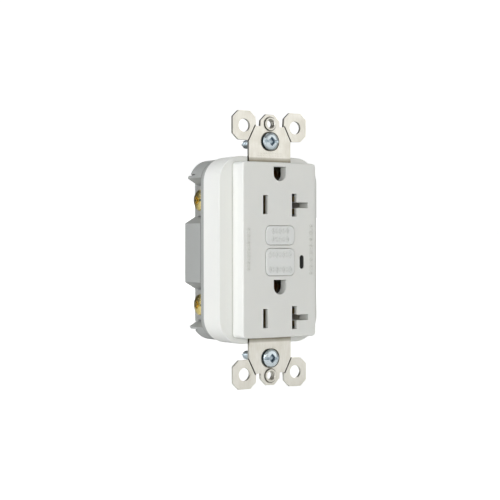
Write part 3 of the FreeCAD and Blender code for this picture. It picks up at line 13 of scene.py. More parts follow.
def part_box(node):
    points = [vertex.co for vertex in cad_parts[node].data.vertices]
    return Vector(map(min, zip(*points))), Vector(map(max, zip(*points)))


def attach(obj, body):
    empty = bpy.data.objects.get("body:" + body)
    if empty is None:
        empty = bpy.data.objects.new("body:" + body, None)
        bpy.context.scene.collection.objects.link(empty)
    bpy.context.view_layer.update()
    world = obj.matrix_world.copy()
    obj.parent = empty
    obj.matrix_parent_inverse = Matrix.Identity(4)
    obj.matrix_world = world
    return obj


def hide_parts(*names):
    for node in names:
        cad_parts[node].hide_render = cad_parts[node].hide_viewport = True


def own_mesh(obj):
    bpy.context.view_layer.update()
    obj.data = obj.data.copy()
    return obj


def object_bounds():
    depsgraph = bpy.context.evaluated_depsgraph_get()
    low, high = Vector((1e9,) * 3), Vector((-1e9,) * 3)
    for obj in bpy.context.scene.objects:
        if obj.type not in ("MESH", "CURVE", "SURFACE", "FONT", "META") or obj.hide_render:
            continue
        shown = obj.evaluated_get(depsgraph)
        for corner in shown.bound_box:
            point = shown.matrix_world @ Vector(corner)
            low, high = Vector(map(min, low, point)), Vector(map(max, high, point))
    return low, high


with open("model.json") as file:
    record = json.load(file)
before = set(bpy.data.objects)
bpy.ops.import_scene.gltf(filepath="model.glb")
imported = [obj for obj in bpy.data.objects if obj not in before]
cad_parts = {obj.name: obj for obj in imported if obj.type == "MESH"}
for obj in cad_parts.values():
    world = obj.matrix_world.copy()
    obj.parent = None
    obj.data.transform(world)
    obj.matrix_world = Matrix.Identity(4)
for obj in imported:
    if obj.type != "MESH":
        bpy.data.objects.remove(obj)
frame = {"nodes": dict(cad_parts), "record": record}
cad_low, cad_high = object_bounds()
scene = bpy.context.scene
record = frame["record"]
BODY = {node: body for body, nodes in record["behaviour"]["bodies"].items() for node in nodes}
SLOT = {part["node"]: part["material_slot"] for part in record["subparts"]}

MM = 0.001
INCH = 0.0254
WELD = 2e-6  # vertices closer than this are joined
MATERIALS = {}

# ------------------------------------------------------------------ node building


def linear(red, green, blue):
    """sRGB 0-255 to linear RGBA."""
    def channel(c):
        c = c / 255.0
        return c / 12.92 if c <= 0.04045 else ((c + 0.055) / 1.055) ** 2.4
    return (channel(red), channel(green), channel(blue), 1.0)


def tinted(color, factors):
    """A colour times three factors, held at 1."""
    return tuple(min(1.0, c * f) for c, f in zip(color, factors)) + (1.0,)


def scaled(color, factor):
    return tinted(color, (factor,) * 3)


class Nodes:
    """Builds the node tree of a material or world; inputs may be values or sockets."""

    def __init__(self, owner, shader):
        owner.use_nodes = True
        self.tree = owner.node_tree
        self.shader = self.tree.nodes[shader]
        self.coords = self.add("ShaderNodeTexCoord").outputs

    def feed(self, socket, value):
        if isinstance(value, bpy.types.NodeSocket):
            self.tree.links.new(value, socket)
        else:
            socket.default_value = value

    def add(self, kind, inputs=None, **settings):
        node = self.tree.nodes.new(kind)
        for key, value in settings.items():
            setattr(node, key, value)
        for key, value in (inputs or {}).items():
            self.feed(node.inputs[key], value)
        return node

    def shade(self, **inputs):
        """Feed the shader; underscores stand for spaces in input names."""
        for key, value in inputs.items():
            self.feed(self.shader.inputs[key.replace("_", " ")], value)

    def remap(self, value, span, to=(0.0, 1.0)):
        """Map the span of a value onto another span."""
        return self.add("ShaderNodeMapRange", {
            "From Min": span[0], "From Max": span[1], "To Min": to[0], "To Max": to[1],
            "Value": value}).outputs["Result"]

    def math(self, operation, first, second=0.0):
        return self.add("ShaderNodeMath", {0: first, 1: second}, operation=operation).outputs[0]

    def split(self, vector):
        return self.add("ShaderNodeSeparateXYZ", {"Vector": vector}).outputs


class Surface(Nodes):
    """A named material around one Principled BSDF."""

    def __init__(self, name):
        self.material = bpy.data.materials.new(name)
        super().__init__(self.material, "Principled BSDF")
        MATERIALS[name] = self.material
        self.place = self.coords["Object"]

    def mapping(self, scale, turn=(0, 0, 0)):
        return self.add("ShaderNodeMapping", {
            "Scale": scale, "Rotation": turn, "Vector": self.place}).outputs["Vector"]

    def noise(self, scale, detail=3.0, rough=0.55, vector=None, distortion=0.0):
        return self.add("ShaderNodeTexNoise", {
            "Scale": scale, "Detail": detail, "Roughness": rough, "Distortion": distortion,
            "Vector": vector or self.place}).outputs["Fac"]

    def mix(self, factor, first, second):
        inputs = {0: factor, 6: first, 7: second}
        return self.add("ShaderNodeMix", inputs, data_type="RGBA").outputs[2]

    def bump(self, height, distance, strength, under=None):
        """A bump, laid over another one if given."""
        inputs = {"Strength": strength, "Distance": distance, "Height": height}
        if under is not None:
            inputs["Normal"] = under
        return self.add("ShaderNodeBump", inputs).outputs["Normal"]

    def edges(self, radius, gain):
        """Mask of a painted edge highlight: 0 on flats, up to gain on edges, where true and
        rounded normals part.
        """
        rounded = self.add("ShaderNodeBevel", {"Radius": radius}, samples=4)
        true = self.add("ShaderNodeNewGeometry")
        inputs = {0: rounded.outputs["Normal"], 1: true.outputs["Normal"]}
        dot = self.add("ShaderNodeVectorMath", inputs, operation="DOT_PRODUCT")
        return self.remap(dot.outputs["Value"], span=(0.98, 0.8), to=(0.0, gain))

    def paint_occlusion_shade(self, color, occlusion_shade, shade):
        """Painted shade: blend towards a darker colour in grooves, holes and corners, where
        occlusion is found.
        """
        open_sky = self.add("ShaderNodeAmbientOcclusion", {"Distance": occlusion_shade.reach}, samples=6)
        depth = self.remap(open_sky.outputs["AO"], span=(occlusion_shade.open_at, 0.35),
                           to=(0.0, occlusion_shade.strength))
        return self.mix(depth, color, shade)


# ------------------------------------------------------------------ kinds of material
# Settings of painted shade in grooves, holes, gaps and corners, found by occlusion.
# reach: how far occlusion is felt (m); strength: most blending; open_at: occlusion value that
# counts as open. shade is factors on the base colour for plastics and sRGB for metals.
OcclusionShade = namedtuple("OcclusionShade", "reach strength shade open_at", defaults=(0.93,))
# Painted shade in a band of metal, where the cover shades the strap's foot: distance from z = 0
# where it starts and where it is full, sRGB shade.
FootShade = namedtuple("FootShade", "start full shade")

NEUTRAL = (1.0, 1.0, 1.0)
FAINTLY_WARM = (1.005, 1.0, 0.99)


def plastic(name, rgb, rough=0.42, grain=0.00018, depth=0.000006, variation=0.03, scatter=0.0,
            warmth=(1.02, 1.0, 0.96), occlusion_shade=None):
    """Moulded plastic, with painted shade in its grooves and corners if asked; grain and depth are
    the size and height of its texture.
    """
    mat = Surface(name)
    base = linear(*rgb)
    light = tinted(scaled(base, 1 + variation), warmth)
    clouds = mat.noise(scale=70.0, detail=4.0, rough=0.6)
    specks = mat.noise(scale=1.0 / grain * 0.35, detail=2.0, rough=0.5)
    grime = mat.noise(scale=260.0, detail=5.0, rough=0.65)
    color = mat.mix(mat.remap(clouds, span=(0.3, 0.7)), scaled(base, 1 - variation), light)
    color = mat.mix(mat.remap(specks, span=(0.62, 0.8), to=(0.0, 0.10)), color,
                    scaled(base, 0.82))
    # painted shade in grooves, holes, gaps and corners
    if occlusion_shade:
        color = mat.paint_occlusion_shade(color, occlusion_shade, tinted(base, occlusion_shade.shade))
    roughness = mat.math(
        "ADD", mat.remap(clouds, span=(0.25, 0.75), to=(rough - 0.05, rough + 0.05)),
        mat.remap(grime, span=(0.4, 0.8), to=(0.0, 0.07)))
    texture = mat.bump(mat.noise(scale=1.0 / grain, detail=2.0, rough=0.6),
                       distance=depth, strength=0.9)
    waves = mat.bump(mat.noise(scale=55.0, detail=2.0, rough=0.5),
                     distance=0.00003, strength=0.25, under=texture)
    mat.shade(Base_Color=color, Roughness=roughness, Normal=waves, IOR=1.49,
              Specular_IOR_Level=0.45)
    if scatter:
        mat.shade(Subsurface_Weight=scatter, Subsurface_Radius=(0.0012, 0.0010, 0.0008),
                  Subsurface_Scale=1.0)


def metal(name, rgb, dark_rgb, rough=0.25, brush=(1, 1, 1), brush_scale=900.0, tarnish=0.25,
          coat=0.0, occlusion_shade=None, foot_shade=None):
    """Metal with brush lines, tarnish patches, painted edge highlights and scratches; painted
    shade in grooves and in a band if asked.
    """
    mat = Surface(name)
    base, dark = linear(*rgb), linear(*dark_rgb)
    lines = mat.noise(scale=brush_scale, detail=3.0, rough=0.6, vector=mat.mapping(brush))
    patches = mat.noise(scale=140.0, detail=5.0, rough=0.62, distortion=0.4)
    fine = mat.noise(scale=1400.0, detail=3.0, rough=0.6)
    scratches = mat.noise(scale=500.0, detail=2.0, rough=0.4,
                          vector=mat.mapping(scale=(1, 1, 14), turn=(0.2, 0.4, 0.5)))

    color = mat.mix(mat.remap(patches, span=(0.42, 0.72), to=(0.0, tarnish)), base, dark)
    color = mat.mix(mat.remap(lines, span=(0.35, 0.65), to=(0.0, 0.16)), color, dark)
    # painted highlight: a brighter colour along the edges
    edge_highlight = tuple(min(1.0, c * 1.15 + 0.03) for c in base[:3]) + (1.0,)
    color = mat.mix(mat.edges(radius=0.0002, gain=0.5), color, edge_highlight)
    # painted shade in grooves, holes and corners
    if occlusion_shade:
        color = mat.paint_occlusion_shade(color, occlusion_shade, linear(*occlusion_shade.shade))
    # painted shade in a band, darker towards the cover at the strap's foot
    if foot_shade:
        height = mat.math("ABSOLUTE", mat.split(mat.place)["Z"])
        inside = foot_shade.start - 0.0002
        painted_foot_shade = mat.math(
            "ADD", mat.remap(height, span=(foot_shade.start + 0.0003, inside), to=(0.0, 0.42)),
            mat.remap(height, span=(inside, foot_shade.full), to=(0.0, 0.38)))
        color = mat.mix(painted_foot_shade, color, linear(*foot_shade.shade))

    roughness = mat.math(
        "ADD", mat.remap(lines, span=(0.3, 0.7), to=(rough - 0.05, rough + 0.06)),
        mat.remap(patches, span=(0.45, 0.8), to=(0.0, 0.12)))
    normal = mat.bump(lines, distance=0.000002, strength=0.8)
    normal = mat.bump(fine, distance=0.0000025, strength=0.5, under=normal)
    normal = mat.bump(mat.remap(scratches, span=(0.70, 0.74)),
                      distance=0.0000022, strength=0.5, under=normal)
    mat.shade(Base_Color=color, Metallic=1.0, Roughness=roughness, Normal=normal)
    if coat:
        mat.shade(Coat_Weight=coat, Coat_Roughness=0.12)


def wound_wire(name, rgb, dark_rgb, pitch):
    """Wound enamelled wire: fine rings along Z."""
    band_at_unit_scale = 0.31415926  # width of one wave band at scale 1: 2 pi / 20
    mat = Surface(name)
    rings = mat.add("ShaderNodeTexWave", {
        "Scale": band_at_unit_scale / pitch, "Distortion": 0.6, "Detail": 1.0,
        "Detail Scale": 0.6, "Vector": mat.place},
        wave_type="BANDS", bands_direction="Z").outputs["Fac"]
    dark = linear(*dark_rgb)
    color = mat.mix(rings, dark, linear(*rgb))
    blotches = mat.remap(mat.noise(scale=400.0), span=(0.4, 0.7), to=(0.0, 0.35))
    mat.shade(Base_Color=mat.mix(blotches, color, dark), Metallic=1.0,
              Roughness=mat.remap(mat.noise(scale=600.0), span=(0.3, 0.7), to=(0.25, 0.4)),
              Normal=mat.bump(rings, distance=0.00006, strength=0.9))


def circuit_board(name):
    """Green board with darker lines between cells and round metal pads."""
    mat = Surface(name)
    vector = mat.mapping(scale=(1, 1, 1))
    cells = mat.add("ShaderNodeTexVoronoi", {"Scale": 330.0, "Vector": vector},
                    distance="CHEBYCHEV", feature="DISTANCE_TO_EDGE")
    track = mat.remap(cells.outputs["Distance"], span=(0.03, 0.07))
    dots = mat.add("ShaderNodeTexVoronoi", {"Scale": 260.0, "Vector": vector})
    pad = mat.remap(dots.outputs["Distance"], span=(0.16, 0.19), to=(1.0, 0.0))
    color = mat.mix(track, linear(18, 88, 52), linear(10, 62, 38))
    relief = mat.math("ADD", mat.math("MULTIPLY", track, -1.0), pad)
    mat.shade(Base_Color=mat.mix(pad, color, linear(196, 190, 176)),
              Roughness=mat.remap(mat.noise(scale=300.0), span=(0.3, 0.7), to=(0.22, 0.34)),
              Metallic=mat.math("MULTIPLY", pad, 0.9),
              Normal=mat.bump(relief, distance=0.00003, strength=0.6))


def dark_lens(name):
    mat = Surface(name)
    color = mat.mix(mat.remap(mat.noise(scale=500.0), span=(0.3, 0.7)),
                    linear(14, 15, 15), linear(26, 27, 26))
    mat.shade(Base_Color=color,
              Roughness=mat.remap(mat.noise(scale=900.0), span=(0.3, 0.7), to=(0.35, 0.5)),
              Normal=mat.bump(mat.noise(scale=120.0), distance=0.00001, strength=0.3),
              Specular_IOR_Level=0.25)


def sleeve(name, rgb, dark_rgb, rough=0.3):
    """The mottled skin of a small component."""
    mat = Surface(name)
    color = mat.mix(mat.remap(mat.noise(scale=420.0, detail=4.0), span=(0.3, 0.7)),
                    linear(*rgb), linear(*dark_rgb))
    roughness = mat.remap(mat.noise(scale=700.0), span=(0.3, 0.7),
                          to=(rough - 0.08, rough + 0.08))
    mat.shade(Base_Color=color, Roughness=roughness,
              Normal=mat.bump(mat.noise(scale=800.0), distance=0.00001, strength=0.6))


# ------------------------------------------------------------------ the materials
# Painted shade: the occlusion settings below darken the grooves, slots, gaps, recesses and corners
# of each material that has them.
plastic("white_plastic", (232, 233, 230), rough=0.46, grain=0.00016, depth=0.000007,
        variation=0.010, scatter=0.02, warmth=FAINTLY_WARM,
        occlusion_shade=OcclusionShade(reach=0.0006, strength=0.75, shade=(0.47, 0.47, 0.41)))
plastic("button_plastic", (231, 233, 232), rough=0.38, grain=0.00013, depth=0.000005,
        variation=0.010, scatter=0.02, warmth=FAINTLY_WARM,
        occlusion_shade=OcclusionShade(reach=0.0005, strength=0.65, shade=(0.50, 0.51, 0.48)))
plastic("grey_plastic", (163, 165, 163), rough=0.44, grain=0.0002, depth=0.000009,
        warmth=NEUTRAL, occlusion_shade=OcclusionShade(reach=0.0030, strength=0.8, shade=(0.50, 0.50, 0.49)))
plastic("inner_plastic", (196, 194, 186), rough=0.5, grain=0.0002, depth=0.000008)
plastic("mechanism_plastic", (62, 62, 64), variation=0.08, warmth=NEUTRAL)
plastic("bobbin_plastic", (206, 196, 168), rough=0.45, variation=0.04)
plastic("retainer_fibre", (120, 78, 50), rough=0.7, grain=0.0003, depth=0.00002, variation=0.12)
# nickel strap: painted shade in its scores, around its collars and along its foot by the cover,
# where the band adds more
metal("nickel_strap", (236, 234, 226), (206, 200, 182), rough=0.36, brush=(1, 1, 0.12),
      brush_scale=2000.0, tarnish=0.3,
      occlusion_shade=OcclusionShade(reach=0.0022, strength=1.0, shade=(76, 70, 54), open_at=0.84),
      foot_shade=FootShade(start=0.0353, full=0.0338, shade=(112, 104, 80)))
# zinc screws: painted teal shade in the slots and recesses of their heads
metal("zinc_screw", (222, 232, 237), (166, 190, 202), rough=0.27, brush_scale=1800.0,
      tarnish=0.2, occlusion_shade=OcclusionShade(reach=0.0018, strength=1.0, shade=(6, 74, 104), open_at=0.90))
metal("brass_screw", (255, 236, 158), (226, 188, 100), rough=0.22, brush_scale=1700.0,
      tarnish=0.35, occlusion_shade=OcclusionShade(reach=0.0009, strength=0.6, shade=(104, 72, 20), open_at=0.8))
metal("zinc_plate", (204, 205, 202), (166, 166, 160), rough=0.5, brush=(1, 1, 0.1),
      brush_scale=1500.0, tarnish=0.3,
      occlusion_shade=OcclusionShade(reach=0.0006, strength=0.6, shade=(90, 86, 76), open_at=0.8))
metal("silver_screw", (214, 213, 208), (150, 148, 142), rough=0.22, brush_scale=1700.0,
      tarnish=0.35)
metal("green_screw", (60, 140, 86), (24, 84, 46), rough=0.26, brush_scale=1500.0,
      tarnish=0.5, coat=0.3)
# ground contacts: brass painted darker overall as shade deep in the ground slot, with painted
# shade in their grooves
metal("ground_brass", (128, 88, 46), (72, 42, 18), rough=0.3, tarnish=0.5,
      occlusion_shade=OcclusionShade(reach=0.004, strength=0.8, shade=(30, 18, 8)))
metal("contact_bronze", (206, 186, 142), (140, 120, 84), rough=0.34, brush=(1, 1, 0.1),
      tarnish=0.5)
wound_wire("copper_wire", (196, 110, 62), (96, 40, 18), pitch=0.00018)
plastic("lead_insulation", (30, 30, 32), rough=0.4, variation=0.1, warmth=NEUTRAL)
plastic("white_insulation", (222, 222, 218))
metal("magnetic_steel", (172, 172, 174), (104, 104, 108), rough=0.3, tarnish=0.5)
plastic("core_ferrite", (52, 50, 50), rough=0.55, grain=0.0002, depth=0.00001,
        variation=0.12, warmth=NEUTRAL)
circuit_board("board_green")
sleeve("varistor_blue", (40, 74, 150), (22, 46, 106), rough=0.25)
sleeve("capacitor_red", (150, 66, 40), (108, 40, 22))
sleeve("capacitor_sleeve", (30, 32, 48), (16, 17, 26), rough=0.28)
sleeve("chip_black", (34, 34, 35), (22, 22, 22), rough=0.5)
sleeve("resistor_tan", (196, 168, 128), (160, 128, 86), rough=0.35)
dark_lens("lens_dark")
sleeve("led_body", (206, 214, 190), (170, 180, 150), rough=0.2)

WIRE_POSTS = ("load_hot", "line_hot", "load_neutral", "line_neutral")
# Nodes whose look is not the material of their slot.
LOOK = {post + kind: "zinc_plate" for post in WIRE_POSTS for kind in ("_clamp", "_terminal")}


# ------------------------------------------------------------------ mesh helpers
def welded_copy(node, drop_slivers=False):
    """The mesh of a CAD node, welded and with its flat faces joined."""
    mesh = bmesh.new()
    mesh.from_mesh(frame["nodes"][node].data)
    bmesh.ops.remove_doubles(mesh, verts=mesh.verts, dist=WELD)
    if drop_slivers:
        bmesh.ops.dissolve_degenerate(mesh, dist=1e-6, edges=mesh.edges)
    bmesh.ops.dissolve_limit(mesh, angle_limit=math.radians(0.6), verts=mesh.verts,
                             edges=mesh.edges, delimit=set())
    return mesh


def new_object(name, mesh):
    data = bpy.data.meshes.new(name)
    mesh.to_mesh(data)
    mesh.free()
    obj = bpy.data.objects.new(name, data)
    scene.collection.objects.link(obj)
    return obj


def face_out(mesh):
    bmesh.ops.recalc_face_normals(mesh, faces=mesh.faces)


def bridge(mesh, first, second):
    """Join two closed loops of equal count with quads."""
    for i in range(len(first)):
        j = (i + 1) % len(first)
        mesh.faces.new((first[i], first[j], second[j], second[i]))


def circle(count):
    """The angles of a full turn."""
    return [2 * math.pi * i / count for i in range(count)]


def round_edges(obj, width, segments, angle):
    modifier = obj.modifiers.new("bevel", "BEVEL")
    modifier.width = width
    modifier.segments = segments
    modifier.limit_method = "ANGLE"
    modifier.angle_limit = math.radians(angle)
    return modifier


def weight_normals(obj):
    obj.modifiers.new("wn", "WEIGHTED_NORMAL").keep_sharp = True


def finish(obj, body, slot, smooth, material=None):
    """Material (that of the slot unless another is given), smooth shading below an angle in
    degrees, and body.
    """
    obj.data.materials.clear()
    obj.data.materials.append(MATERIALS[material or slot])
    for face in obj.data.polygons:
        face.use_smooth = True
    obj.data.set_sharp_from_angle(angle=math.radians(smooth))
    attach(obj, body)


def finish_as(obj, node, smooth):
    finish(obj, BODY[node], SLOT[node], smooth, LOOK.get(node))


# ------------------------------------------------------------------ CAD pieces with round edges
# node: (edge width, segments)
ROUNDED = {
    "front_cover": (0.00022, 3),
    "rear_body": (0.00022, 3),
    "middle_housing": (0.00012, 2),
    "mounting_strap": (0.00009, 2),
    "test_button": (0.00030, 3),
    "reset_button": (0.00030, 3),
    "indicator_lens": (0.00010, 2),
    "upper_screw_retainer": (0.00008, 2),
    "lower_screw_retainer": (0.00008, 2),
    "ground_clamp": (0.00012, 2),
    "housing_screws": (0.00008, 2),
    "contact_carrier": (0.00010, 2),
    "latch_plate": (0.00006, 2),
    "solenoid_frame": (0.00012, 2),
    "solenoid_bobbin": (0.00010, 2),
    "sensor_housing": (0.00012, 2),
    "hot_face_contacts": (0.00006, 2),
    "neutral_face_contacts": (0.00006, 2),
}
for post in WIRE_POSTS:
    ROUNDED[post + "_terminal"] = (0.00008, 2)
    ROUNDED[post + "_clamp"] = (0.00010, 2)


def rounded_piece(node, width, segments):
    piece = new_object(node + "_shell", welded_copy(node, drop_slivers=True))
    bevel = round_edges(piece, width, segments, angle=26.0)
    bevel.use_clamp_overlap = True
    bevel.harden_normals = False
    bevel.miter_outer = "MITER_ARC"
    finish_as(piece, node, smooth=35.0)
    weight_normals(piece)
    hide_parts(node)


for node, (width, segments) in ROUNDED.items():
    rounded_piece(node, width, segments)


# ------------------------------------------------------------------ screw parts
def keep_between(mesh, axis, low_at, high_at):
    """Cut at two planes square to an axis, drop what lies outside and close the ends."""
    k = "XYZ".index(axis)
    for at, above in ((high_at, True), (low_at, False)):
        point, normal = [0.0, 0.0, 0.0], [0.0, 0.0, 0.0]
        point[k], normal[k] = at, 1.0
        bmesh.ops.bisect_plane(mesh, geom=mesh.verts[:] + mesh.edges[:] + mesh.faces[:],
                               plane_co=point, plane_no=normal,
                               clear_outer=above, clear_inner=not above)
        bmesh.ops.holes_fill(mesh, edges=[e for e in mesh.edges if len(e.link_faces) == 1],
                             sides=0)


def thread_height(turn):
    """Share of thread depth over one pitch: root flat, flank, crest flat, flank."""
    turn = turn % 1.0
    if turn < 0.14:
        return 0.0
    if turn < 0.46:
        return (turn - 0.14) / 0.32
    if turn < 0.60:
        return 1.0
    if turn < 0.92:
        return 1.0 - (turn - 0.60) / 0.32
    return 0.0


def threaded_rod(z_mid, start, taper, tip, crest, root, pitch, sides=40, steps_per_turn=8):
    """A closed shank along +Y on x = 0; the thread fades in at start and out past taper."""
    mesh = bmesh.new()
    steps = int(round((tip - start) / pitch * steps_per_turn))
    rings = []
    for i in range(steps + 1):
        y = start + (tip - start) * i / steps
        fade = min(1.0, (y - start) / (0.9 * pitch))
        past = (y - taper) / (tip - taper)
        cone = 1.0 if y <= taper else max(0.16, 1.0 - past * 0.86)
        ring = []
        for j, angle in enumerate(circle(sides)):
            height = thread_height((y - start) / pitch - j / sides)
            if y > taper:
                height *= max(0.0, 1.0 - past * 1.3)
            radius = (root + (crest - root) * height * fade) * cone
            ring.append(mesh.verts.new((radius * math.cos(angle), y,
                                        z_mid + radius * math.sin(angle))))
        rings.append(ring)
    for first, second in zip(rings, rings[1:]):
        bridge(mesh, first, second)
    mesh.faces.new(rings[0])
    mesh.faces.new(list(reversed(rings[-1])))
    face_out(mesh)
    return mesh


def carve(obj, cutters):
    """Subtract the cutters from a piece for good."""
    for cutter in cutters:
        modifier = obj.modifiers.new("cut", "BOOLEAN")
        modifier.operation = "DIFFERENCE"
        modifier.solver = "EXACT"
        modifier.object = cutter
    bpy.context.view_layer.update()
    graph = bpy.context.evaluated_depsgraph_get()
    carved = bpy.data.meshes.new_from_object(obj.evaluated_get(graph))
    obj.modifiers.clear()
    old = obj.data
    obj.data = carved
    bpy.data.meshes.remove(old)
    for cutter in cutters:
        data = cutter.data
        bpy.data.objects.remove(cutter)
        bpy.data.meshes.remove(data)


# Rotations that bring +Z to the way a screw head faces.
TURN = {
    "-Y": Matrix(((1, 0, 0), (0, 0, -1), (0, 1, 0))),
    "-X": Matrix(((0, 0, -1), (-1, 0, 0), (0, 1, 0))),
    "+X": Matrix(((0, 0, 1), (1, 0, 0), (0, 1, 0))),
    "-Z": Matrix(((1, 0, 0), (0, -1, 0), (0, 0, -1))),
}
HEAD_SIDES = 72
SLOT_HALF = 0.0005  # half width of the driver slot
RECESS_HALF = 0.0019  # middle to corner of the square recess


def head_profile(radius, height, rim, round_top):
    """(radius, height) points from the seat to the top."""
    dome = height - rim
    side = [(radius * 0.955, 0.0), (radius, 0.00012), (radius, rim - 0.00005)]
    if round_top:
        angles = [math.radians(a) for a in (9, 18, 27, 36, 46, 56, 66, 76, 84)]
        return side + [(radius * math.cos(a), rim + dome * math.sin(a)) for a in angles]
    return side + [
        (radius - 0.00010, rim + 0.00012),
        (radius - 0.00034, rim + dome * 0.42),
        (radius * 0.80, rim + dome * 0.66),
        (radius * 0.60, rim + dome * 0.84),
        (radius * 0.38, rim + dome * 0.95),
        (radius * 0.17, height),
    ]


def cutter_prism(name, place, outline, bottom, top, taper=1.0):
    """A prism over an (x, y) outline; taper scales its bottom."""
    mesh = bmesh.new()
    low_loop = [mesh.verts.new((x * taper, y * taper, bottom)) for x, y in outline]
    top_loop = [mesh.verts.new((x, y, top)) for x, y in outline]
    mesh.faces.new(list(reversed(low_loop)))
    mesh.faces.new(top_loop)
    bridge(mesh, low_loop, top_loop)
    face_out(mesh)
    bmesh.ops.transform(mesh, matrix=place, verts=mesh.verts)
    return new_object(name, mesh)


def drive_head(node, seat, facing, radius, height, rim, slot_depth, recess_depth,
               round_top=False):
    """A screw head on its seat, with a slot across it and a square recess set on its corner."""
    name = node + "_head"
    mesh = bmesh.new()
    rings = [[mesh.verts.new((r * math.cos(a), r * math.sin(a), z)) for a in circle(HEAD_SIDES)]
             for r, z in head_profile(radius, height, rim, round_top)]
    mesh.faces.new(list(reversed(rings[0])))
    for first, second in zip(rings, rings[1:]):
        bridge(mesh, first, second)
    mesh.faces.new(rings[-1])
    face_out(mesh)
    place = Matrix.Translation(Vector(seat)) @ TURN[facing].to_4x4()
    bmesh.ops.transform(mesh, matrix=place, verts=mesh.verts)
    head = new_object(name, mesh)

    reach = radius + 0.001
    slot = [(-reach, -SLOT_HALF), (reach, -SLOT_HALF), (reach, SLOT_HALF), (-reach, SLOT_HALF)]
    recess = [(RECESS_HALF, 0.0), (0.0, RECESS_HALF), (-RECESS_HALF, 0.0), (0.0, -RECESS_HALF)]
    carve(head, [
        cutter_prism(name + "_a", place, slot, height - slot_depth, height + 0.001),
        cutter_prism(name + "_b", place, recess, height - recess_depth, height + 0.0002,
                     taper=0.86),
    ])
    round_edges(head, width=0.00007, segments=2, angle=28)
    finish_as(head, node, smooth=30)
    weight_normals(head)
    return head


# ------------------------------------------------------------------ box mounting screws
# Head and neck, then a real helical thread with a pointed end.
MOUNTING_SCREWS = {"upper_mounting_screw": 0.04167, "lower_mounting_screw": -0.04167}  # z


def mounting_screw(node, z_mid):
    mesh = welded_copy(node)
    keep_between(mesh, "Y", -0.00075, 0.0070)
    neck = new_object(node + "_neck", mesh)
    finish_as(neck, node, smooth=32)
    head = drive_head(node, (0.0, -0.0008, z_mid), "-Y", radius=0.00343, height=0.0021,
                      rim=0.00125, slot_depth=0.00080, recess_depth=0.0014)
    thread = new_object(node + "_thread", threaded_rod(
        z_mid, start=0.0069, taper=0.0165, tip=0.0196,
        crest=0.00175, root=0.00138, pitch=INCH / 32))
    finish_as(thread, node, smooth=55)
    for part in (head, neck, thread):
        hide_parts(node)


for node, z_mid in MOUNTING_SCREWS.items():
    mounting_screw(node, z_mid)

# ------------------------------------------------------------------ terminal and ground screws
# The turned shank stays; the head gets its slot and square recess.
WIRE_HEAD = dict(seat_at=0.0179, radius=0.0041, height=0.0020, rim=0.0005, round_top=True)
GROUND_HEAD = dict(seat_at=0.0405, radius=0.0032, height=0.0019, rim=0.0011)
WIRE_SCREWS = {  # node: (way the head faces, head sizes)
    "load_hot_screw": ("-X", WIRE_HEAD),
    "line_hot_screw": ("-X", WIRE_HEAD),
    "load_neutral_screw": ("+X", WIRE_HEAD),
    "line_neutral_screw": ("+X", WIRE_HEAD),
    "ground_screw": ("-Z", GROUND_HEAD),
}


def wire_screw(node, facing, seat_at, **head_sizes):
    low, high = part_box(node)
    sign = -1.0 if facing[0] == "-" else 1.0
    k = "XYZ".index(facing[1])
    seat = [(low[i] + high[i]) / 2 for i in range(3)]
    seat[k] = seat_at * sign
    # the shank runs a little into the head, and the far cut lies clear of its end
    overlap = seat[k] + sign * 0.00005
    beyond = low[k] - 0.001 if sign > 0 else high[k] + 0.001
    mesh = welded_copy(node)
    keep_between(mesh, facing[1], min(overlap, beyond), max(overlap, beyond))
    shank = new_object(node + "_shank", mesh)
    finish_as(shank, node, smooth=32)
    head = drive_head(node, seat, facing, slot_depth=0.00085, recess_depth=0.0013, **head_sizes)
    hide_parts(node)
    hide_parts(node)


for node, (facing, sizes) in WIRE_SCREWS.items():
    wire_screw(node, facing, **sizes)


# ------------------------------------------------------------------ raised marks
# Mark sizes and places are in millimetres.
Mark = namedtuple("Mark", "x z half_width half_height hollow")


def prism(mesh, outer, front, back, window=None):
    """A closed prism along Y over an (x, z) outline, with an optional window."""
    def loop(points, y):
        return [mesh.verts.new((x, y, z)) for x, z in points]
    outer_front, outer_back = loop(outer, front), loop(outer, back)
    bridge(mesh, outer_front, outer_back)
    if not window:
        mesh.faces.new(list(reversed(outer_front)))
        mesh.faces.new(outer_back)
        return
    inner_front, inner_back = loop(window, front), loop(window, back)
    for i in range(len(outer)):
        j = (i + 1) % len(outer)
        mesh.faces.new((inner_front[j], inner_front[i], inner_back[i], inner_back[j]))
        mesh.faces.new((outer_front[j], outer_front[i], inner_front[i], inner_front[j]))
        mesh.faces.new((outer_back[i], outer_back[j], inner_back[j], inner_back[i]))


def lozenge(x, z, half_width, half_height):
    return [(x, z - half_height), (x + half_width, z), (x, z + half_height), (x - half_width, z)]


def clipped_bar(mark, cut=0.12 * MM):
    """A rectangle with its corners cut off."""
    x0, x1 = (mark.x - mark.half_width) * MM, (mark.x + mark.half_width) * MM
    z0, z1 = (mark.z - mark.half_height) * MM, (mark.z + mark.half_height) * MM
    return [(x0 + cut, z0), (x1 - cut, z0), (x1, z0 + cut), (x1, z1 - cut),
            (x1 - cut, z1), (x0 + cut, z1), (x0, z1 - cut), (x0, z0 + cut)]


def marks(name, body, slot, surface_y, items, height=0.00024, sink=0.00006):
    """Marks that stand height proud of a face and sink a little into it."""
    mesh = bmesh.new()
    front, back = surface_y - height, surface_y + sink
    for mark in items:
        if mark.hollow:
            x, z, a, b = mark.x * MM, mark.z * MM, mark.half_width * MM, mark.half_height * MM
            open_share = 0.62
            window = lozenge(x, z, a * open_share * 0.9, b * open_share)
            prism(mesh, lozenge(x, z, a, b), front, back, window)
        else:
            prism(mesh, clipped_bar(mark), front, back)
    face_out(mesh)
    obj = new_object(name, mesh)
    round_edges(obj, width=0.00004, segments=1, angle=50)
    finish(obj, body, slot, smooth=40)


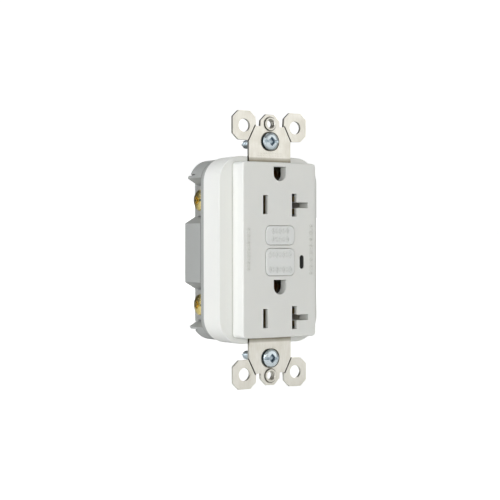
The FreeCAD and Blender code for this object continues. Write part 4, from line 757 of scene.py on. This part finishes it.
def mark_row(x, z, count, pitch, along, across, vertical=False):
    """Open lozenges and pairs of bars by turns, along X or Z; along and across are half sizes."""
    items = []
    for i in range(count):
        shift = (i - (count - 1) / 2) * pitch
        if i % 2 == 0:
            parts = [(0.0, along, across, True)]
        else:
            parts = [(side * across * 0.5, along * 0.6, 0.15, False) for side in (-1, 1)]
        for offset, a, b, hollow in parts:
            if vertical:
                items.append(Mark(x + offset, z + shift, b, a, hollow))
            else:
                items.append(Mark(x + shift, z + offset, a, b, hollow))
    return items


BUTTON_FACE = -0.0087
COVER_FACE = -0.0083
STRAP_FACE = -0.0013
marks("test_marks", "test_button", "button_plastic", BUTTON_FACE,
      mark_row(0, 7.2, count=5, pitch=1.6, along=0.78, across=1.12)
      + mark_row(0, 4.0, count=5, pitch=1.6, along=0.78, across=1.12))
marks("reset_marks", "reset_button", "button_plastic", BUTTON_FACE,
      mark_row(0, -1.85, count=7, pitch=1.5, along=0.74, across=1.15)
      + mark_row(0, -7.55, count=7, pitch=1.5, along=0.74, across=1.15))
marks("left_marks", "housing", "white_plastic", COVER_FACE,
      mark_row(-13.95, 0.2, count=13, pitch=1.25, along=0.58, across=0.90, vertical=True),
      height=0.00018)
marks("right_marks", "housing", "white_plastic", COVER_FACE,
      mark_row(14.35, 0.1, count=15, pitch=1.3, along=0.60, across=0.92, vertical=True),
      height=0.00018)
marks("strap_marks", "housing", "nickel_strap", STRAP_FACE,
      [Mark(-5.2 + 1.3 * i, 36.6 + dz, 0.42, 0.13, False)
       for i in range(9) for dz in (-0.45, 0.45)],
      height=0.00007, sink=0.00004)

# ------------------------------------------------------------------ collars on the strap
COLLAR_Z = 0.04842


def collar(name, z_mid, front=-0.0020, back=-0.0010, bore=0.00166, rim=0.00248, sides=64):
    """A turned ring around Y with a broken outer edge and a lead-in."""
    profile = [  # (radius, y)
        (bore, back), (bore, front + 0.0003), (bore + 0.0002, front + 0.00004),
        (bore + 0.00032, front), (rim - 0.00016, front), (rim - 0.00004, front + 0.00006),
        (rim, front + 0.0002), (rim, back),
    ]
    mesh = bmesh.new()
    loops = [[mesh.verts.new((r * math.cos(a), y, z_mid + r * math.sin(a)))
              for a in circle(sides)] for r, y in profile]
    for first, second in zip(loops, loops[1:] + loops[:1]):
        bridge(mesh, first, second)
    face_out(mesh)
    finish(new_object(name, mesh), "housing", "nickel_strap", smooth=34)


collar("upper_plate_collar", COLLAR_Z)
collar("lower_plate_collar", -COLLAR_Z)

# ------------------------------------------------------------------ springs
# anchor: place along the axis that stays put; keep: share of length left when pressed.
SPRINGS = {
    "reset_spring": dict(axis="Y", joint="reset_press", anchor=-0.0013, keep=0.66,
                         turns=5.5, wire=0.00022),
    "plunger_spring": dict(axis="Z", joint="plunger_stroke", anchor=0.02225, keep=0.4,
                           turns=5.5, wire=0.0002),
}


def coil(centre, axis, start, length, radius, wire, turns, sides=16, steps_per_turn=28):
    """One coil of round wire (wire is its radius) with closed ends."""
    mesh = bmesh.new()
    steps = int(turns * steps_per_turn)
    closed = 1.2 / turns  # share of the coil at each end over which the pitch changes
    along = Vector((0, 1, 0)) if axis == "Y" else Vector((0, 0, 1))
    rings = []
    for i in range(steps + 1):
        t = i / steps
        if t < closed:
            rise = 0.5 * t * t / closed
        elif t > 1 - closed:
            rise = (1 - closed) - 0.5 * (1 - t) ** 2 / closed
        else:
            rise = t - 0.5 * closed
        rise /= (1 - closed)
        angle = 2 * math.pi * turns * t
        cos, sin = math.cos(angle), math.sin(angle)
        radial = Vector((cos, 0, sin)) if axis == "Y" else Vector((cos, sin, 0))
        travel = start + wire + (length - 2 * wire) * rise
        middle = Vector(centre) + radial * radius + along * travel
        rings.append([mesh.verts.new(middle + (radial * math.cos(a) + along * math.sin(a)) * wire)
                      for a in circle(sides)])
    for first, second in zip(rings, rings[1:]):
        bridge(mesh, first, second)
    mesh.faces.new(rings[0])
    mesh.faces.new(list(reversed(rings[-1])))
    face_out(mesh)
    return mesh


def spring(node, axis, joint, anchor, keep, turns, wire):
    """A coil that fills the box of its node."""
    low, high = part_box(node)
    k = "XYZ".index(axis)
    centre = [(low[i] + high[i]) / 2 for i in range(3)]
    centre[k] = 0.0
    outer = min((high[i] - low[i]) / 2 for i in range(3) if i != k)
    obj = new_object(node + "_coil", coil(centre, axis, low[k], high[k] - low[k],
                                          outer - wire, wire, turns))
    finish_as(obj, node, smooth=60)
    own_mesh(obj)
    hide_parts(node)


for node, values in SPRINGS.items():
    spring(node, **values)

# ------------------------------------------------------------------ CAD pieces kept as they are
rebuilt = {*ROUNDED, *MOUNTING_SCREWS, *WIRE_SCREWS, *SPRINGS}
for node, obj in frame["nodes"].items():
    if node not in rebuilt:
        obj.data.materials.clear()
        obj.data.materials.append(MATERIALS[SLOT[node]])

# ------------------------------------------------------------------ camera
AZIMUTH = math.radians(32.4)  # from -Y towards -X
ELEVATION = math.radians(0.14)
ROLL = math.radians(-0.07)
CAMERA_DISTANCE = 0.5166


def add_camera():
    data = bpy.data.cameras.new("camera")
    camera = bpy.data.objects.new("camera", data)
    scene.collection.objects.link(camera)
    eye = Vector((-math.sin(AZIMUTH) * math.cos(ELEVATION),
                  -math.cos(AZIMUTH) * math.cos(ELEVATION),
                  math.sin(ELEVATION))) * CAMERA_DISTANCE
    camera.location = eye
    aim = (-eye).to_track_quat("-Z", "Y")
    camera.rotation_mode = "QUATERNION"
    camera.rotation_quaternion = aim @ Matrix.Rotation(ROLL, 3, "Z").to_quaternion()
    data.sensor_width = 36.0
    data.lens = 96.4404
    data.shift_x = -0.03672
    data.shift_y = -0.00036
    data.clip_start = 0.01
    data.clip_end = 20.0
    scene.camera = camera


add_camera()
scene.view_settings.view_transform = "Standard"
scene.view_settings.look = "None"
scene.view_settings.exposure = 0.0


# ------------------------------------------------------------------ floor
def floor_material():
    """Pale to the eye; in reflections it is dark behind the outlet and glows before it."""
    mat = Surface("stage_white")
    rays = mat.add("ShaderNodeLightPath").outputs
    pale = mat.mix(mat.remap(mat.noise(scale=40.0), span=(0.3, 0.7)),
                   (0.90, 0.90, 0.895, 1), (0.93, 0.93, 0.925, 1))
    depth = mat.split(mat.place)["Y"]
    behind = mat.remap(depth, span=(0.05, 0.35))
    ahead = mat.remap(depth, span=(0.05, -0.02))
    dark = mat.math("MULTIPLY", rays["Is Glossy Ray"], behind)
    seen_glow = mat.math("MULTIPLY", rays["Is Camera Ray"], 0.62)
    mirrored_glow = mat.math(
        "MULTIPLY", mat.math("MULTIPLY", rays["Is Glossy Ray"], ahead), 0.26)
    mat.shade(Base_Color=mat.mix(dark, pale, (0.20, 0.205, 0.21, 1)), Roughness=0.9,
              Specular_IOR_Level=0.1, Emission_Color=(1, 1, 1, 1),
              Emission_Strength=mat.math("ADD", seen_glow, mirrored_glow))
    return mat.material


def stage_floor():
    """A floor, square to the view, that curves up into a backdrop."""
    floor_z = cad_low[2] - 0.0012
    near_end, bend_start, bend, wall_top, half_width = -1.6, 1.0, 0.5, 2.4, 3.0
    bend_steps = 12
    profile = [(near_end, floor_z)]  # (y, z)
    for i in range(bend_steps + 1):
        angle = -math.pi / 2 + (math.pi / 2) * i / bend_steps
        profile.append((bend_start + bend * math.cos(angle),
                        floor_z + bend + bend * math.sin(angle)))
    profile.append((bend_start + bend, floor_z + wall_top))
    mesh = bmesh.new()
    left, right = [[mesh.verts.new((x, y, z)) for y, z in profile]
                   for x in (-half_width, half_width)]
    for i in range(len(profile) - 1):
        mesh.faces.new((left[i], right[i], right[i + 1], left[i + 1]))
    floor = new_object("stage_floor", mesh)
    floor.rotation_euler = (0, 0, -AZIMUTH)
    for face in floor.data.polygons:
        face.use_smooth = True
    floor.data.materials.append(floor_material())


stage_floor()


# ------------------------------------------------------------------ lights
def area(name, location, size, power, color=(1, 1, 1)):
    """A rectangular light aimed at the origin."""
    data = bpy.data.lights.new(name, "AREA")
    data.shape = "RECTANGLE"
    data.size, data.size_y = size
    data.energy = power
    data.color = color
    light = bpy.data.objects.new(name, data)
    scene.collection.objects.link(light)
    light.location = location
    aim = Vector((0, 0, 0)) - Vector(location)
    light.rotation_euler = aim.to_track_quat("-Z", "Y").to_euler()
    return light


area("key_left", (-1.18, 0.0, 0.12), size=(0.8, 1.1), power=13.0, color=(0.965, 0.978, 1.0))
# fills that shiny surfaces do not show
area("front_fill", (0.28, -1.20, 0.06), size=(0.9, 0.9), power=2.2,
     color=(1.0, 0.998, 0.97)).visible_glossy = False
area("camera_fill", (-0.70, -1.10, 0.08), size=(0.42, 0.5), power=7.7,
     color=(1.0, 1.0, 0.975)).visible_glossy = False
# the cards show only in shiny surfaces
area("card_left", (-0.70, -1.10, 0.08), size=(0.88, 1.1), power=6.2,
     color=(1.0, 1.0, 0.975)).visible_diffuse = False
area("top", (-0.1, 0.1, 1.1), size=(1.0, 1.0), power=0.8)
area("back_fill", (0.85, 0.90, 0.25), size=(0.9, 0.9), power=4.5, color=(1.0, 1.0, 0.99))
area("card_right", (0.64, -1.03, 0.0), size=(1.25, 1.7), power=6.6,
     color=(1.0, 0.99, 0.965)).visible_diffuse = False


# ------------------------------------------------------------------ world
# (place across X from 0 to 1, brightness)
STUDIO_STRIPES = ((0.0, 0.42), (0.28, 0.10), (0.45, 0.34), (0.62, 0.08), (0.85, 0.36), (1.0, 0.16))


def studio_world():
    """Soft stripes across X, brighter with height; plain white to the camera."""
    world = bpy.data.worlds.new("studio")
    scene.world = world
    sky = Nodes(world, "Background")
    direction = sky.split(sky.coords["Generated"])
    stripes = sky.add("ShaderNodeValToRGB",
                      {"Fac": sky.remap(direction["X"], span=(-1.0, 1.0))})
    ramp = stripes.color_ramp
    ramp.interpolation = "EASE"
    for i, (position, value) in enumerate(STUDIO_STRIPES):
        # a new ramp already has two stops
        stop = ramp.elements[i] if i < 2 else ramp.elements.new(position)
        stop.position = position
        stop.color = (value, value, value, 1.0)
    rise = sky.remap(direction["Z"], span=(-0.4, 0.9), to=(0.5, 1.1))
    glow = sky.math("MULTIPLY", stripes.outputs["Color"], rise)
    seen = sky.add("ShaderNodeLightPath").outputs["Is Camera Ray"]
    strength = sky.add("ShaderNodeMix", {0: seen, 2: glow, 3: 1.0}, data_type="FLOAT")
    sky.shade(Strength=strength.outputs[0], Color=(1, 1, 1, 1))


studio_world()
